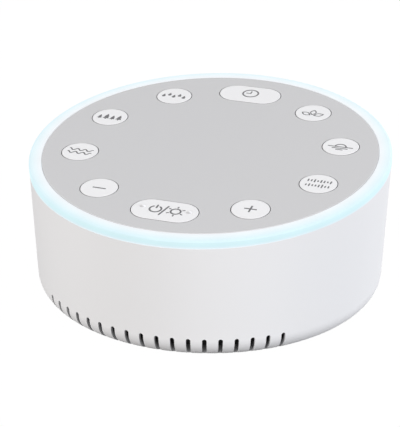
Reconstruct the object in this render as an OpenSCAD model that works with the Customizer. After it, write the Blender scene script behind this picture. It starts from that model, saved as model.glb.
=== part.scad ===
// White noise sound machine: a round housing whose key panel slopes to the front, with a glowing
// ring round the panel, ten sprung keys, and a speaker that fires down behind slots in the lower edge.
// The origin is the middle of the footprint on the table and +Z is up. The power key and the slots
// face -Y, and the power socket is in the rear wall, toward +Y. All sizes are in millimetres.

/* [Top face] */
// Height of the panel's middle above the table
top_mid_h = 50.6; // [48:0.2:60]
// Slope of the top face down toward the front, in degrees
top_slope = 5.75; // [2:0.25:8]
// Radius of the grey key panel
panel_r = 57.9; // [57:0.1:58.4]
// Thickness of the key panel
panel_t = 1.8; // [1.2:0.1:2.4]
// Rounding of the panel's upper rim
panel_edge = 0.3; // [0.1:0.1:0.6]
// Radius of the circle of bosses that screws draw the panel down by
panel_boss_circle_r = 22; // [18:0.5:24]

/* [Light ring] */
// Gap between the panel and the ring
ring_gap = 0.15; // [0.05:0.05:0.3]
// Width of the ring
ring_w = 4.2; // [3.8:0.1:4.6]
// Radius of the ring's rounded outer edge
ring_round = 0.8; // [0.4:0.1:1.6]
// Drop from the panel's plane to the ring's lower outer edge
ring_drop = 3; // [2.4:0.1:3.4]
// How far the ring stands out past the wall's rim
ring_proud = 0.15; // [0:0.05:0.4]
// Thickness of the skirt that catches the light
ring_skirt_t = 1.4; // [1:0.1:2]
// Depth of the skirt below the panel's plane
ring_skirt_h = 6; // [5:0.2:7]
// Gap between the skirt and the housing wall
ring_skirt_gap = 0.5; // [0.4:0.1:0.9]
// Width of the ledge that the panel's edge holds down
ring_ledge_w = 1.1; // [0.8:0.1:1.6]
// Thickness of that ledge
ring_ledge_t = 1.3; // [1:0.1:1.6]

/* [Housing] */
// How far the wall's rim stands out past its foot
wall_draft = 2; // [1:0.1:2.4]
// Thickness of the wall
wall_t = 2.2; // [1.8:0.1:2.6]
// Rounding of the lower edge
foot_round = 7.2; // [6:0.2:8.6]
// Width of lip inside the screw posts that stand on it
lip_margin = 0.8; // [0.5:0.1:2]
// Thickness of the lip
lip_t = 1.8; // [1.4:0.1:2.4]

/* [Sound slots] */
// Number of slots
slot_count = 18; // [10:1:22]
// Angle from one slot to the next, in degrees
slot_pitch = 5; // [4:0.25:6]
// Width of a slot
slot_w = 1.5; // [1:0.1:1.6]
// How far a slot's round end rises above the start of the rounded edge
slot_rise = 0.7; // [0.7:0.1:1]
// Distance that the slots reach in from the wall's foot
slot_reach = 4.3; // [4.2:0.1:6.7]
// Thickness of the mesh behind the slots
mesh_t = 0.4; // [0.3:0.1:0.6]
// Distance from the wall's inner face to the mesh
mesh_gap = 1.3; // [1.2:0.1:2]
// How far the mesh runs past the outermost slots, in degrees
mesh_overrun = 3; // [1:0.5:5]
// Depth of the groove in the lip that the mesh stands in
mesh_seat = 0.8; // [0.5:0.1:2]
// Gap round the mesh in its groove
mesh_fit = 0.1; // [0.05:0.05:0.2]

/* [Base] */
// Height of the feet below the underside
foot_h = 1; // [0.6:0.1:2]
// Radius of a foot
foot_r = 5.5; // [4.5:0.1:6]
// How much narrower a foot is where it meets the table
foot_taper = 0.3; // [0.1:0.1:0.8]
// Depth of the recess that a foot is stuck in
foot_seat = 0.6; // [0.4:0.1:0.8]
// Distance from the wall's foot in to the base plate's edge
plate_inset = 9.1; // [8.6:0.1:9.4]
// Thickness of the base plate
plate_t = 3; // [2.8:0.1:3.4]
// Gap round the base plate
plate_gap = 0.2; // [0.1:0.05:0.4]
// Distance from the base plate's edge in to the circle of posts, base screws and feet
post_inset = 6.5; // [6.2:0.1:7]
// Angle of the posts to either side of the X axis, in degrees
post_angle = 36; // [34:0.5:38]
// Height of the cone that spreads the sound under the speaker
cone_h = 3.4; // [2:0.2:4]
// Radius of that cone's foot
cone_r = 15; // [10:0.5:18]

/* [Posts and screws] */
// Radius of a screw post
post_r = 3.2; // [2.8:0.1:3.4]
// Gap round a post where it passes a board or the baffle
post_gap = 0.5; // [0.3:0.1:0.8]
// Radius of the larger screws' shanks
screw_r = 1.3; // [1.2:0.05:1.4]
// Radius of the larger screws' heads
screw_head_r = 2.7; // [2.4:0.1:3]
// Height of the larger screws' heads
screw_head_h = 1.4; // [1.2:0.1:1.5]
// Reach of a base screw into its post
post_screw_reach = 10; // [8:0.5:14]
// Radius of the small screws' shanks
small_screw_r = 0.9; // [0.8:0.05:1]
// Radius of the small screws' heads
small_head_r = 1.9; // [1.7:0.1:2.1]
// Height of the small screws' heads
small_head_h = 1.2; // [1:0.1:1.4]
// Reach of a small screw into its boss
small_reach = 4; // [3:0.5:4.5]
// Gap between a screw's shank and the hole that it passes
screw_gap = 0.2; // [0.1:0.05:0.3]
// Gap between a screw's shank and the pilot hole that its thread bites
pilot_gap = 0.03; // [0.01:0.01:0.05]
// Length of pilot hole left past a screw's tip
pilot_spare = 0.4; // [0.2:0.1:0.6]

/* [Keys] */
// Distance from the panel's edge in to the circle that the ten keys lie on
key_inset = 13.1; // [12.4:0.1:13.8]
// Angle from one key to the next, in degrees
key_pitch = 36; // [35:0.5:36]
// Radius of a round key, and of the ends of a pill-shaped key
key_r = 6.3; // [5.8:0.1:6.6]
// Distance between the centres of a pill-shaped key's two round ends
pill_span = 10; // [8:0.2:11]
// Gap round a key in the panel
key_gap = 0.25; // [0.15:0.05:0.4]
// Height of a key above the panel
key_proud = 0.1; // [0:0.05:0.8]
// Rounding of a key's upper edge
key_edge = 0.25; // [0.2:0.05:0.6]
// Travel of a key
key_travel = 0.5; // [0.3:0.05:0.5]
// Width of the flange that keeps a key under the panel
flange_w = 0.9; // [0.7:0.1:1.2]
// Thickness of that flange
flange_t = 1; // [0.8:0.1:1.4]
// Gap between the flange and the panel when a key is up
flange_gap = 0.15; // [0.1:0.05:0.3]
// Room that is left under the flange when a key is down
flange_room = 0.35; // [0.3:0.05:0.6]
// Radius of a key's stem
stem_r = 2.2; // [2:0.1:2.6]
// Gap round a stem in the key frame
stem_gap = 0.3; // [0.2:0.05:0.4]
// Length of stem below the key frame when a key is up
stem_below = 0.5; // [0.4:0.1:0.8]
// Distance from a pill-shaped key's middle to each of its guide pegs
peg_offset = 6.5; // [5.5:0.1:7.5]
// Radius of a guide peg
peg_r = 1.2; // [1:0.1:1.6]
// Distance from a round key's middle to the peg that keeps it from turning
round_peg_offset = 4.4; // [4.2:0.1:4.8]
// Distance from the power key's middle to each of its raised dots
dot_offset = 8; // [7:0.2:8.6]
// Distance of the dots behind the power key's middle line
dot_rise = 0.9; // [0:0.1:1.5]
// Radius of a raised dot
dot_r = 1; // [0.8:0.1:1.4]
// Height of a raised dot
dot_h = 0.45; // [0.2:0.05:0.6]

/* [Key frame] */
// Thickness of the key frame's web
frame_t = 1.6; // [1.2:0.1:2]
// Thickness of its upright walls
frame_wall_t = 1.5; // [1.2:0.1:2]
// Gap between the key frame and the ring's ledge
frame_gap = 0.4; // [0.2:0.1:0.6]
// Distance from the circle of keys in to the frame's inner wall
hub_inset = 13.8; // [13:0.2:16]
// Thickness of the ribs between the keys
rib_t = 1.2; // [1:0.1:1.6]

/* [Switches and key board] */
// Width of a switch
switch_w = 6; // [5:0.2:6.2]
// Height of a switch without its plunger
switch_h = 3.5; // [3.2:0.1:4]
// Radius of a switch plunger
plunger_r = 1.6; // [1.4:0.1:1.8]
// Height of a plunger above its switch when a key is up
plunger_proud = 1; // [0.8:0.1:1.4]
// Length of plunger inside its switch
plunger_in = 1; // [0.8:0.1:1.2]
// Gap round a plunger, and a switch's spare depth under it
plunger_gap = 0.15; // [0.1:0.05:0.2]
// Thickness of both circuit boards
board_t = 1.6; // [1:0.2:1.6]
// Gap between the key board and the wall at its rim
board_gap = 1.9; // [1.7:0.1:2.4]
// Distance from the frame's inner wall in to the circle of screws that hold the key board
board_screw_inset = 1; // [0:0.5:3]
// Radius of the bosses that carry the boards
boss_r = 2.4; // [2.2:0.1:2.8]
// Number of lamps under the ring
led_count = 24; // [12:4:30]
// Width of a lamp
led_w = 2; // [1.6:0.1:2.4]
// Height of a lamp
led_h = 0.8; // [0.6:0.1:1.2]
// Distance from a lamp's middle to the board's edge
led_inset = 1.3; // [1.2:0.1:1.6]

/* [Speaker] */
// Distance of the speaker in front of the housing's middle
speaker_y = 14; // [12:0.5:15]
// Radius of the speaker's flange
speaker_r = 27.5; // [27:0.5:28]
// Width of the speaker's flange round its mouth
speaker_rim_w = 5; // [4.8:0.1:6]
// Height of the baffle's underside above the table
baffle_z = 10; // [10:0.2:11]
// Thickness of the baffle
baffle_t = 2; // [1.6:0.1:2.4]
// Gap between the baffle and the housing wall
baffle_gap = 0.5; // [0.4:0.1:0.8]
// Angle of the baffle's screws to either side of the X axis, in degrees
baffle_screw_angle = 20; // [18:1:22]
// Distance from the wall's foot in to the circle of baffle screws
baffle_screw_inset = 9.1; // [8.2:0.1:9.6]
// Reach of a baffle screw into its boss
baffle_screw_reach = 4.5; // [3:0.5:5]
// Depth of the bosses that take the speaker's screws, below the baffle
speaker_boss_h = 2; // [1.6:0.1:2.4]
// Thickness of the gasket under the speaker
gasket_t = 0.8; // [0.5:0.1:1.2]
// Thickness of the basket's sheet metal
basket_t = 1; // [0.8:0.1:1.2]
// Depth of the basket above its flange
basket_h = 9; // [8:0.2:10]
// Width of the basket's flat rear outside the magnet
basket_margin = 1; // [0.6:0.1:2]
// Width of a window in the basket's wall
window_w = 12; // [8:1:14]
// Height of a window in the basket's wall
window_h = 5.4; // [4:0.2:5.6]
// Width of the soft roll round the cone
surround_w = 4.3; // [4:0.1:5]
// Thickness of the soft roll and of the pleated spider
cloth_t = 0.5; // [0.3:0.1:0.6]
// Thickness of the cone's paper
cone_t = 0.5; // [0.4:0.1:0.7]
// Distance from the basket's rear to the cone's neck
neck_drop = 3; // [2.8:0.1:3.4]
// Number of pleats in the spider
pleat_count = 6; // [4:1:8]
// Distance from the flange's edge in to the circle of speaker screws
speaker_screw_inset = 2; // [1.95:0.05:2.1]
// Radius of the magnet
magnet_r = 14; // [12:0.5:14.5]
// Height of the magnet
magnet_h = 5.5; // [4:0.5:6.5]
// Thickness of the magnet's steel plates
yoke_t = 1.6; // [1.2:0.1:2]
// Radius of the voice coil
coil_r = 6.5; // [6:0.1:7]
// Wall of the voice coil
coil_t = 0.4; // [0.3:0.1:0.5]
// Clear space on each side of the voice coil
coil_gap = 0.35; // [0.3:0.05:0.4]

/* [Main board and socket] */
// Gap between the main board's sides and the screw posts
main_side_gap = 0.8; // [0.5:0.1:2]
// Gap between the speaker and the main board's front edge
main_front_gap = 3.5; // [3:0.5:4.5]
// Distance from the wall's foot in to the main board's rounded rear edge
main_rear_inset = 7.6; // [7:0.2:9]
// Height of the main board above the baffle
main_lift = 2.5; // [2:0.1:3]
// Distance from the main board's edges to its front bosses
main_boss_inset = 4; // [3.5:0.5:6]
// Distance from the main board's rear edge to its rear bosses
main_rear_boss_inset = 7; // [5:0.5:9]
// Half the distance between the main board's rear bosses
main_rear_boss_x = 15; // [12:0.5:18]
// Radius of the power socket's bore
socket_r = 3; // [2.9:0.05:3.1]
// Depth of the socket's bore
socket_depth = 9.5; // [9:0.5:11]
// Radius of the socket's contact pin
socket_pin_r = 1.05; // [1:0.05:1.2]
// Distance from the socket's mouth in to the pin's tip
pin_recess = 1.5; // [1.4:0.1:2]
// Radius of the hole in the wall that lets a plug's body in
inlet_r = 4.6; // [4.5:0.1:5]
// Radius of the socket's collar, which stands in that hole
socket_collar_r = 4.2; // [4:0.1:4.3]
// Length of that collar
socket_collar_l = 1.4; // [0.6:0.2:2.2]
// Width of the socket's body
socket_w = 9; // [8.6:0.1:10]
// Height of the socket's body
socket_h = 9.4; // [9:0.1:11]
// Length of the socket's body
socket_l = 13; // [12:0.5:14]
// Gap between the socket's body and the wall
socket_gap = 0.4; // [0.4:0.05:0.8]

/* [Cables] */
// Width of the terminal strip on the speaker
terminal_w = 8; // [6:0.5:10]
// Height of the terminal strip
terminal_h = 5; // [4:0.5:6]
// Distance between the two speaker leads
lead_pitch = 2.5; // [2:0.1:3]
// Distance of the leads' plug to the left of the middle
lead_plug_x = 13; // [12:0.5:15]
// How far the leads bow out on their way
lead_bow = 5; // [3:0.5:6]
// Width of the ribbon cable
ribbon_w = 12; // [8:1:14]
// Distance from the main board's front edge to the ribbon's plug
ribbon_inset = 4; // [3.5:0.5:5]
// Width of the ribbon's plugs beside the ribbon, each side
plug_margin = 1.2; // [0.8:0.1:2]
// Thickness of the ribbon cable
ribbon_t = 0.8; // [0.6:0.1:1]
// Radius of a speaker lead
lead_r = 0.6; // [0.5:0.05:0.7]

/* [Hidden] */
$fn = 96;
EPS = 0.01;
FAR = 200;
CUT_SPARE = 2;

// Levels in the sloping frame, measured down from the panel's plane
flange_top = -panel_t - flange_gap;
flange_bottom = flange_top - flange_t;
web_top = flange_bottom - key_travel - flange_room;
web_bottom = web_top - frame_t;
stem_bottom = web_bottom - stem_below;
switch_top = stem_bottom - plunger_proud;
board_top = switch_top - switch_h;
board_bottom = board_top - board_t;

// Levels in the upright frame
rim_mid_z = top_mid_h - ring_drop;
round_z = foot_h + foot_round;
plate_top = foot_h + plate_t;
lip_top = plate_top + lip_t;
baffle_top = baffle_z + baffle_t;
main_bottom = baffle_top + main_lift;
main_top = main_bottom + board_t;
socket_z = main_top + socket_h / 2;

// Radii that follow from the panel's: ring, wall, base and what stands on it, each by its own distance
ring_in_r = panel_r + ring_gap;
ring_out_r = ring_in_r + ring_w;
wall_rim_r = ring_out_r - ring_proud;
wall_foot_r = wall_rim_r - wall_draft;
crest_z = top_mid_h + (wall_rim_r + CUT_SPARE) * tan(top_slope);
slot_in_r = wall_foot_r - slot_reach;
mesh_r = wall_foot_r - wall_t - mesh_gap;
plate_r = wall_foot_r - plate_inset;
post_circle_r = plate_r - post_inset;
lip_r = post_circle_r - post_r - lip_margin;
baffle_screw_r = wall_foot_r - baffle_screw_inset;
key_circle_r = panel_r - key_inset;
hub_r = key_circle_r - hub_inset;
board_r = wall_rim_r - wall_t - board_gap;
board_screw_circle_r = hub_r - board_screw_inset;

// The wall leans outward from its foot to its rim
wall_lean = atan((wall_rim_r - wall_foot_r) / (rim_mid_z - foot_h));
function wall_r(z) = wall_foot_r + (z - foot_h) * tan(wall_lean);
round_mid_r = wall_r(round_z) - foot_round / cos(wall_lean);

// The ring's skirt and ledge, and the key frame inside the ledge
skirt_out_r = wall_rim_r - wall_t - ring_skirt_gap;
ledge_in_r = ring_in_r - ring_ledge_w;
ledge_top = -panel_t;
frame_r = ledge_in_r - frame_gap;

// Each key: its name, its steps along the key circle from the power key, and whether it is a pill.
// The timer key sits straight across from the power key.
TIMER_STEP = 5;
KEYS = [
    ["power", 0, true], ["plus", 1, false], ["noise", 2, false], ["calm", 3, false],
    ["relax", 4, false], ["timer", TIMER_STEP, true], ["rain", -4, false], ["forest", -3, false],
    ["ocean", -2, false], ["minus", -1, false]
];
function key_row(name) = [for (k = KEYS) if (k[0] == name) k][0];
function key_turn(step) = step == TIMER_STEP ? 90 : -90 + step * key_pitch;

POST_TURNS = [post_angle, 180 - post_angle, 180 + post_angle, -post_angle];
BAFFLE_TURNS = [baffle_screw_angle, 180 - baffle_screw_angle, 180 + baffle_screw_angle, -baffle_screw_angle];
QUARTER_TURNS = [0, 90, 180, 270];
DIAGONAL_TURNS = [45, 135, 225, 315];

// Main board: its outline and the places of its bosses, as x and y
main_half_w = post_circle_r * cos(post_angle) - post_r - main_side_gap;
main_front_y = speaker_r - speaker_y + main_front_gap;
main_rear_r = wall_foot_r - main_rear_inset;
main_rear_boss_y = main_rear_r - main_rear_boss_inset;
MAIN_BOSSES = [for (side = [-1, 1]) each [
    [side * (main_half_w - main_boss_inset), main_front_y + main_boss_inset],
    [side * main_rear_boss_x, main_rear_boss_y]
]];

// Reach of a speaker screw into the baffle, and of a main board screw past the board
SPEAKER_REACH = baffle_t + speaker_boss_h - pilot_spare - 0.2;
MAIN_REACH = main_lift + baffle_t / 2;
// Speaker: radii, then levels above the baffle's top, from the gasket up to the rear plate
mouth_r = speaker_r - speaker_rim_w;
speaker_screw_r = speaker_r - speaker_screw_inset;
basket_rear_r = magnet_r + basket_margin;
rim_top = gasket_t + basket_t;
rear_low = gasket_t + basket_h;
front_plate_z = rear_low + basket_t;
magnet_z = front_plate_z + yoke_t;
rear_plate_z = magnet_z + magnet_h;
cone_low = gasket_t + cloth_t;
cone_high = rear_low - neck_drop;
spider_z = cone_high + cone_t + cloth_t;
coil_out_r = coil_r + coil_t;
gap_out_r = coil_out_r + coil_gap;
cone_out_r = mouth_r - surround_w;

// Chips on the main board: middle, as x and distance behind the board's front edge, then width and length
CHIPS = [[-13, 12, 8, 8], [14, 9, 5, 6], [0, 17, 4, 5]];
CHIP_H = 1.4;
// Legs on each of a chip's two sides: how many, then the length that shows, width and height of one
CHIP_LEGS = 5;
CHIP_LEG = [0.65, 0.6, 0.5];
// Capacitors: middle, as x and distance in front of the board's rear bosses, then radius and height
CAPACITORS = [[21, 11.5, 3.15, 8], [12, 6.5, 2.5, 7], [-22, 10.5, 3.15, 8]];

// Socket: where its shoulder behind the wall and the mouth of its collar lie
shoulder_y = wall_r(socket_z) - wall_t - socket_gap;
mouth_y = shoulder_y + socket_collar_l;

// Cables: the ribbon joins both boards, and the leads join the speaker's terminals to the main board
ribbon_y = main_front_y + ribbon_inset;
ribbon_plug = [ribbon_w + 2 * plug_margin, 4, 3];
ribbon_foot_z = main_top + ribbon_plug[2];
ribbon_head_z = top_mid_h + ribbon_y * tan(top_slope) + board_bottom / cos(top_slope) - ribbon_plug[2];
lead_plug = [2 * lead_pitch + 1, 5, 4];
lead_plug_y = main_front_y + 1.5;
terminal_t = 1.2;
terminal_gap = 2.3;
terminal_z = baffle_top + rim_top;
terminal_y = mouth_r + basket_t - speaker_y + terminal_gap;
LEAD_SIDES = 8;
LEAD_STEPS = 12;

SHELL_WHITE = [0.92, 0.92, 0.92];
PANEL_GREY = [0.8, 0.8, 0.81];
KEY_WHITE = [0.94, 0.94, 0.94];
RING_CYAN = [0.82, 0.97, 1];
INNER_WHITE = [0.85, 0.86, 0.86];
BOARD_GREEN = [0.1, 0.4, 0.2];
DARK = [0.12, 0.12, 0.13];
STEEL = [0.7, 0.71, 0.73];
COPPER = [0.75, 0.45, 0.25];

// ---------------------------------------------------------------- frames and shared shapes

// Puts children in the sloping frame: its origin is the panel's middle and its +Z leaves the panel
module on_slope() {
    translate([0, 0, top_mid_h]) rotate([top_slope, 0, 0]) children();
}

// Everything higher than a level of the sloping frame
module above_slope(level) {
    on_slope() translate([-FAR / 2, -FAR / 2, level]) cube([FAR, FAR, FAR]);
}

// Puts children at a key, turned so that every key reads the same way up
module at_key(name) {
    turn = key_turn(key_row(name)[1]);
    on_slope() translate([key_circle_r * cos(turn), key_circle_r * sin(turn), 0]) children();
}

module at_turns(turns, radius) {
    for (turn = turns) translate([radius * cos(turn), radius * sin(turn), 0]) children();
}

module at_speaker() {
    translate([0, -speaker_y, baffle_top]) children();
}

// A key's outline, grown by a margin: a circle, or two circles and the bar between them
module key_outline(pill, margin) {
    if (pill) {
        square([pill_span, 2 * (key_r + margin)], center = true);
        for (side = [-1, 1]) translate([side * pill_span / 2, 0]) circle(r = key_r + margin);
    } else {
        circle(r = key_r + margin);
    }
}

// A pin along +Z from one level to another
module pin(radius, low, high) {
    translate([0, 0, low]) cylinder(r = radius, h = high - low);
}

// A screw whose head sits below its seat and whose shank goes up
module screw_up(shank_r, head_r, head_h, seat, reach) {
    pin(head_r, seat - head_h, seat);
    pin(shank_r, seat - EPS, seat + reach);
}

// A screw whose head sits on its seat and whose shank goes down
module screw_down(shank_r, head_r, head_h, seat, reach) {
    pin(head_r, seat, seat + head_h);
    pin(shank_r, seat - reach, seat + EPS);
}

// ---------------------------------------------------------------- housing

// Half section of the housing's skin, moved in by inset
module skin_section(inset) {
    round_r = foot_round - inset;
    polygon([
        [0, foot_h + inset],
        [round_mid_r, foot_h + inset],
        [round_mid_r, round_z],
        [round_mid_r + round_r * cos(wall_lean), round_z - round_r * sin(wall_lean)],
        [wall_r(crest_z) - inset / cos(wall_lean), crest_z],
        [0, crest_z]
    ]);
    translate([round_mid_r, round_z]) circle(r = round_r);
}

module shell_section() {
    difference() {
        skin_section(0);
        intersection() {
            skin_section(wall_t);
            translate([0, lip_top]) square([FAR, FAR]);
        }
        translate([-EPS, 0]) square([plate_r + plate_gap + EPS, plate_top]);
        translate([-EPS, 0]) square([lip_r + EPS, lip_top + EPS]);
    }
}

// One slot: a radial cut with a round upper end that runs out through the rounded lower edge
module slot_cut() {
    reach = wall_rim_r + CUT_SPARE - slot_in_r;
    end_z = round_z + slot_rise - slot_w / 2;
    translate([slot_in_r, -slot_w / 2, 0]) cube([reach, slot_w, end_z]);
    translate([slot_in_r, 0, end_z]) rotate([0, 90, 0]) cylinder(d = slot_w, h = reach);
}

// The curved mesh behind the slots, or with a margin the groove in the lip that it stands in
module mesh_band(margin, high) {
    span = (slot_count - 1) * slot_pitch + 2 * (mesh_overrun + asin(margin / mesh_r));
    rotate([0, 0, -90 - span / 2]) rotate_extrude(angle = span, $fn = 180)
        translate([mesh_r - mesh_t - margin, lip_top - mesh_seat])
            square([mesh_t + 2 * margin, high - lip_top + mesh_seat]);
}

module body_shell() {
    color(SHELL_WHITE) difference() {
        union() {
            rotate_extrude($fn = 180) shell_section();
            at_turns(BAFFLE_TURNS, baffle_screw_r) pin(boss_r, lip_top - EPS, baffle_z);
        }
        mesh_band(mesh_fit, lip_top + EPS);
        above_slope(-ring_drop);
        for (i = [0 : slot_count - 1])
            rotate([0, 0, -90 + (i - (slot_count - 1) / 2) * slot_pitch]) slot_cut();
        at_turns(POST_TURNS, post_circle_r) pin(screw_r + screw_gap, 0, lip_top + EPS);
        at_turns(BAFFLE_TURNS, baffle_screw_r)
            pin(screw_r + pilot_gap, baffle_z - baffle_screw_reach - pilot_spare, baffle_z + EPS);
        translate([0, 0, socket_z]) rotate([-90, 0, 0]) pin(inlet_r, plate_r, FAR / 2);
    }
}

module base_plate() {
    color(SHELL_WHITE) difference() {
        union() {
            pin(plate_r, foot_h, plate_top);
            translate([0, -speaker_y, plate_top - EPS]) cylinder(r1 = cone_r, r2 = 1, h = cone_h + EPS);
        }
        at_turns(POST_TURNS, post_circle_r) {
            pin(foot_r + plate_gap, foot_h - EPS, foot_h + foot_seat);
            pin(screw_head_r + screw_gap, foot_h - EPS, foot_h + foot_seat + screw_head_h);
            pin(screw_r + screw_gap, foot_h - EPS, plate_top + EPS);
        }
    }
}

module base_screws() {
    seat = foot_h + foot_seat + screw_head_h;
    color(STEEL) at_turns(POST_TURNS, post_circle_r)
        screw_up(screw_r, screw_head_r, screw_head_h, seat, lip_top - seat + post_screw_reach);
}

module feet() {
    color(DARK) at_turns(POST_TURNS, post_circle_r) {
        cylinder(r1 = foot_r - foot_taper, r2 = foot_r, h = foot_h / 2);
        pin(foot_r, foot_h / 2 - EPS, foot_h + foot_seat);
    }
}

module dust_mesh() {
    color(DARK) mesh_band(0, baffle_z);
}

// ---------------------------------------------------------------- top: ring, panel and key frame

module light_ring() {
    crown_r = ring_out_r - ring_round;
    color(RING_CYAN) on_slope() rotate_extrude($fn = 180) {
        translate([crown_r, -ring_round]) circle(r = ring_round);
        translate([ring_in_r, -ring_drop]) square([crown_r - ring_in_r, ring_drop]);
        translate([ring_in_r, -ring_drop]) square([ring_w, ring_drop - ring_round]);
        translate([skirt_out_r - ring_skirt_t, -ring_skirt_h])
            square([ring_skirt_t, ring_skirt_h - ring_drop + EPS]);
        translate([ledge_in_r, ledge_top - ring_ledge_t])
            square([skirt_out_r - ledge_in_r, ring_ledge_t]);
    }
}

module top_panel() {
    color(PANEL_GREY) on_slope() difference() {
        union() {
            pin(panel_r, -panel_t, -panel_edge);
            translate([0, 0, -panel_edge - EPS])
                cylinder(r1 = panel_r + EPS, r2 = panel_r - panel_edge, h = panel_edge + EPS);
            at_turns(DIAGONAL_TURNS, panel_boss_circle_r) pin(boss_r, web_top, -panel_t + EPS);
        }
        for (k = KEYS) {
            turn = key_turn(k[1]);
            translate([key_circle_r * cos(turn), key_circle_r * sin(turn), -panel_t - 1])
                linear_extrude(panel_t + 2) key_outline(k[2], key_gap);
        }
        at_turns(DIAGONAL_TURNS, panel_boss_circle_r)
            pin(small_screw_r + pilot_gap, web_top - 1, web_bottom + small_reach + pilot_spare);
    }
}

module panel_screws() {
    color(STEEL) on_slope() at_turns(DIAGONAL_TURNS, panel_boss_circle_r)
        screw_up(small_screw_r, small_head_r, small_head_h, web_bottom, small_reach);
}

module ring_wall(outer_r, low, high) {
    translate([0, 0, low]) difference() {
        cylinder(r = outer_r, h = high - low);
        translate([0, 0, -1]) cylinder(r = outer_r - frame_wall_t, h = high - low + 2);
    }
}

module key_frame() {
    color(INNER_WHITE) difference() {
        union() {
            on_slope() {
                pin(frame_r, web_bottom, web_top);
                ring_wall(frame_r, web_top - EPS, -panel_t);
                ring_wall(hub_r, web_top - EPS, -panel_t);
                for (i = [0 : len(KEYS) - 1]) rotate([0, 0, -90 + (i - (len(KEYS) - 1) / 2) * key_pitch])
                    translate([hub_r - frame_wall_t / 2, -rib_t / 2, web_top - EPS])
                        cube([frame_r - hub_r, rib_t, -panel_t - web_top + EPS]);
                at_turns(QUARTER_TURNS, board_screw_circle_r) pin(boss_r, board_top, web_bottom + EPS);
            }
            difference() {
                at_turns(POST_TURNS, post_circle_r) pin(post_r, lip_top, crest_z);
                above_slope((web_top + web_bottom) / 2);
            }
        }
        for (k = KEYS) at_key(k[0]) {
            pin(stem_r + stem_gap, web_bottom - 1, web_top + 1);
            at_pegs(k[2]) pin(peg_r + stem_gap, web_bottom - 1, web_top + 1);
        }
        on_slope() {
            at_turns(DIAGONAL_TURNS, panel_boss_circle_r)
                pin(small_screw_r + screw_gap, web_bottom - 1, web_top + 1);
            at_turns(QUARTER_TURNS, board_screw_circle_r)
                pin(small_screw_r + pilot_gap, board_top - 1, board_top + small_reach + pilot_spare);
        }
        at_turns(POST_TURNS, post_circle_r)
            pin(screw_r + pilot_gap, lip_top - EPS, lip_top + post_screw_reach + pilot_spare);
    }
}

// ---------------------------------------------------------------- keys and switches

module key(name) {
    pill = key_row(name)[2];
    color(KEY_WHITE) at_key(name) {
        translate([0, 0, flange_top - EPS])
            linear_extrude(key_proud - key_edge - flange_top + EPS) key_outline(pill, 0);
        key_crown(pill);
        translate([0, 0, flange_bottom]) linear_extrude(flange_t) key_outline(pill, flange_w);
        pin(stem_r, stem_bottom, flange_bottom + EPS);
        at_pegs(pill) pin(peg_r, web_bottom, flange_bottom + EPS);
        if (name == "power") for (side = [-1, 1]) translate([side * dot_offset, dot_rise, key_proud])
            raised_dot();
    }
}

// Puts children at a key's guide pegs: two on a pill-shaped key, and one on a round key
module at_pegs(pill) {
    places = pill ? [[-peg_offset, 0, 0], [peg_offset, 0, 0]] : [[0, round_peg_offset, 0]];
    for (place = places) translate(place) children();
}

// A low dome that a finger finds in the dark
module raised_dot() {
    dome_r = (dot_r * dot_r + dot_h * dot_h) / (2 * dot_h);
    rotate_extrude() intersection() {
        translate([0, dot_h - dome_r]) circle(r = dome_r);
        translate([0, -0.1]) square([2 * dot_r, dot_h + 0.1]);
    }
}

// The rounded upper edge of a key: a ring section, turned on the round ends and drawn along a pill's sides
module key_crown(pill) {
    low = key_proud - key_edge;
    ends = pill ? [-pill_span / 2, pill_span / 2] : [0];
    for (x = ends) translate([x, 0, low]) rotate_extrude() crown_section();
    if (pill) translate([0, 0, low]) rotate([90, 0, 90])
        translate([0, 0, -pill_span / 2]) linear_extrude(pill_span) {
            crown_section();
            mirror([1, 0]) crown_section();
        }
}

module crown_section() {
    square([key_r - key_edge, key_edge]);
    intersection() {
        translate([key_r - key_edge, 0]) circle(r = key_edge, $fn = 48);
        square([key_r, key_edge]);
    }
}

module plunger(name) {
    color(DARK) at_key(name) pin(plunger_r, switch_top - plunger_in, stem_bottom);
}

module switch_housings() {
    color(STEEL) for (k = KEYS) at_key(k[0]) difference() {
        translate([-switch_w / 2, -switch_w / 2, board_top]) cube([switch_w, switch_w, switch_h]);
        pin(plunger_r + plunger_gap, switch_top - plunger_in - key_travel - 2 * plunger_gap, switch_top + 1);
    }
}

module key_board() {
    color(BOARD_GREEN) difference() {
        on_slope() difference() {
            pin(board_r, board_bottom, board_top);
            at_turns(QUARTER_TURNS, board_screw_circle_r)
                pin(small_screw_r + screw_gap, board_bottom - 1, board_top + 1);
        }
        at_turns(POST_TURNS, post_circle_r) pin(post_r + post_gap, baffle_top, crest_z);
    }
}

module board_screws() {
    color(STEEL) on_slope() at_turns(QUARTER_TURNS, board_screw_circle_r)
        screw_up(small_screw_r, small_head_r, small_head_h, board_bottom, board_t + small_reach);
}

module ring_leds() {
    color("white") on_slope() for (i = [0 : led_count - 1]) rotate([0, 0, (i + 0.5) * 360 / led_count])
        translate([board_r - led_inset - led_w / 2, -led_w / 2, board_top]) cube([led_w, led_w, led_h]);
}

// ---------------------------------------------------------------- speaker

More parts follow.
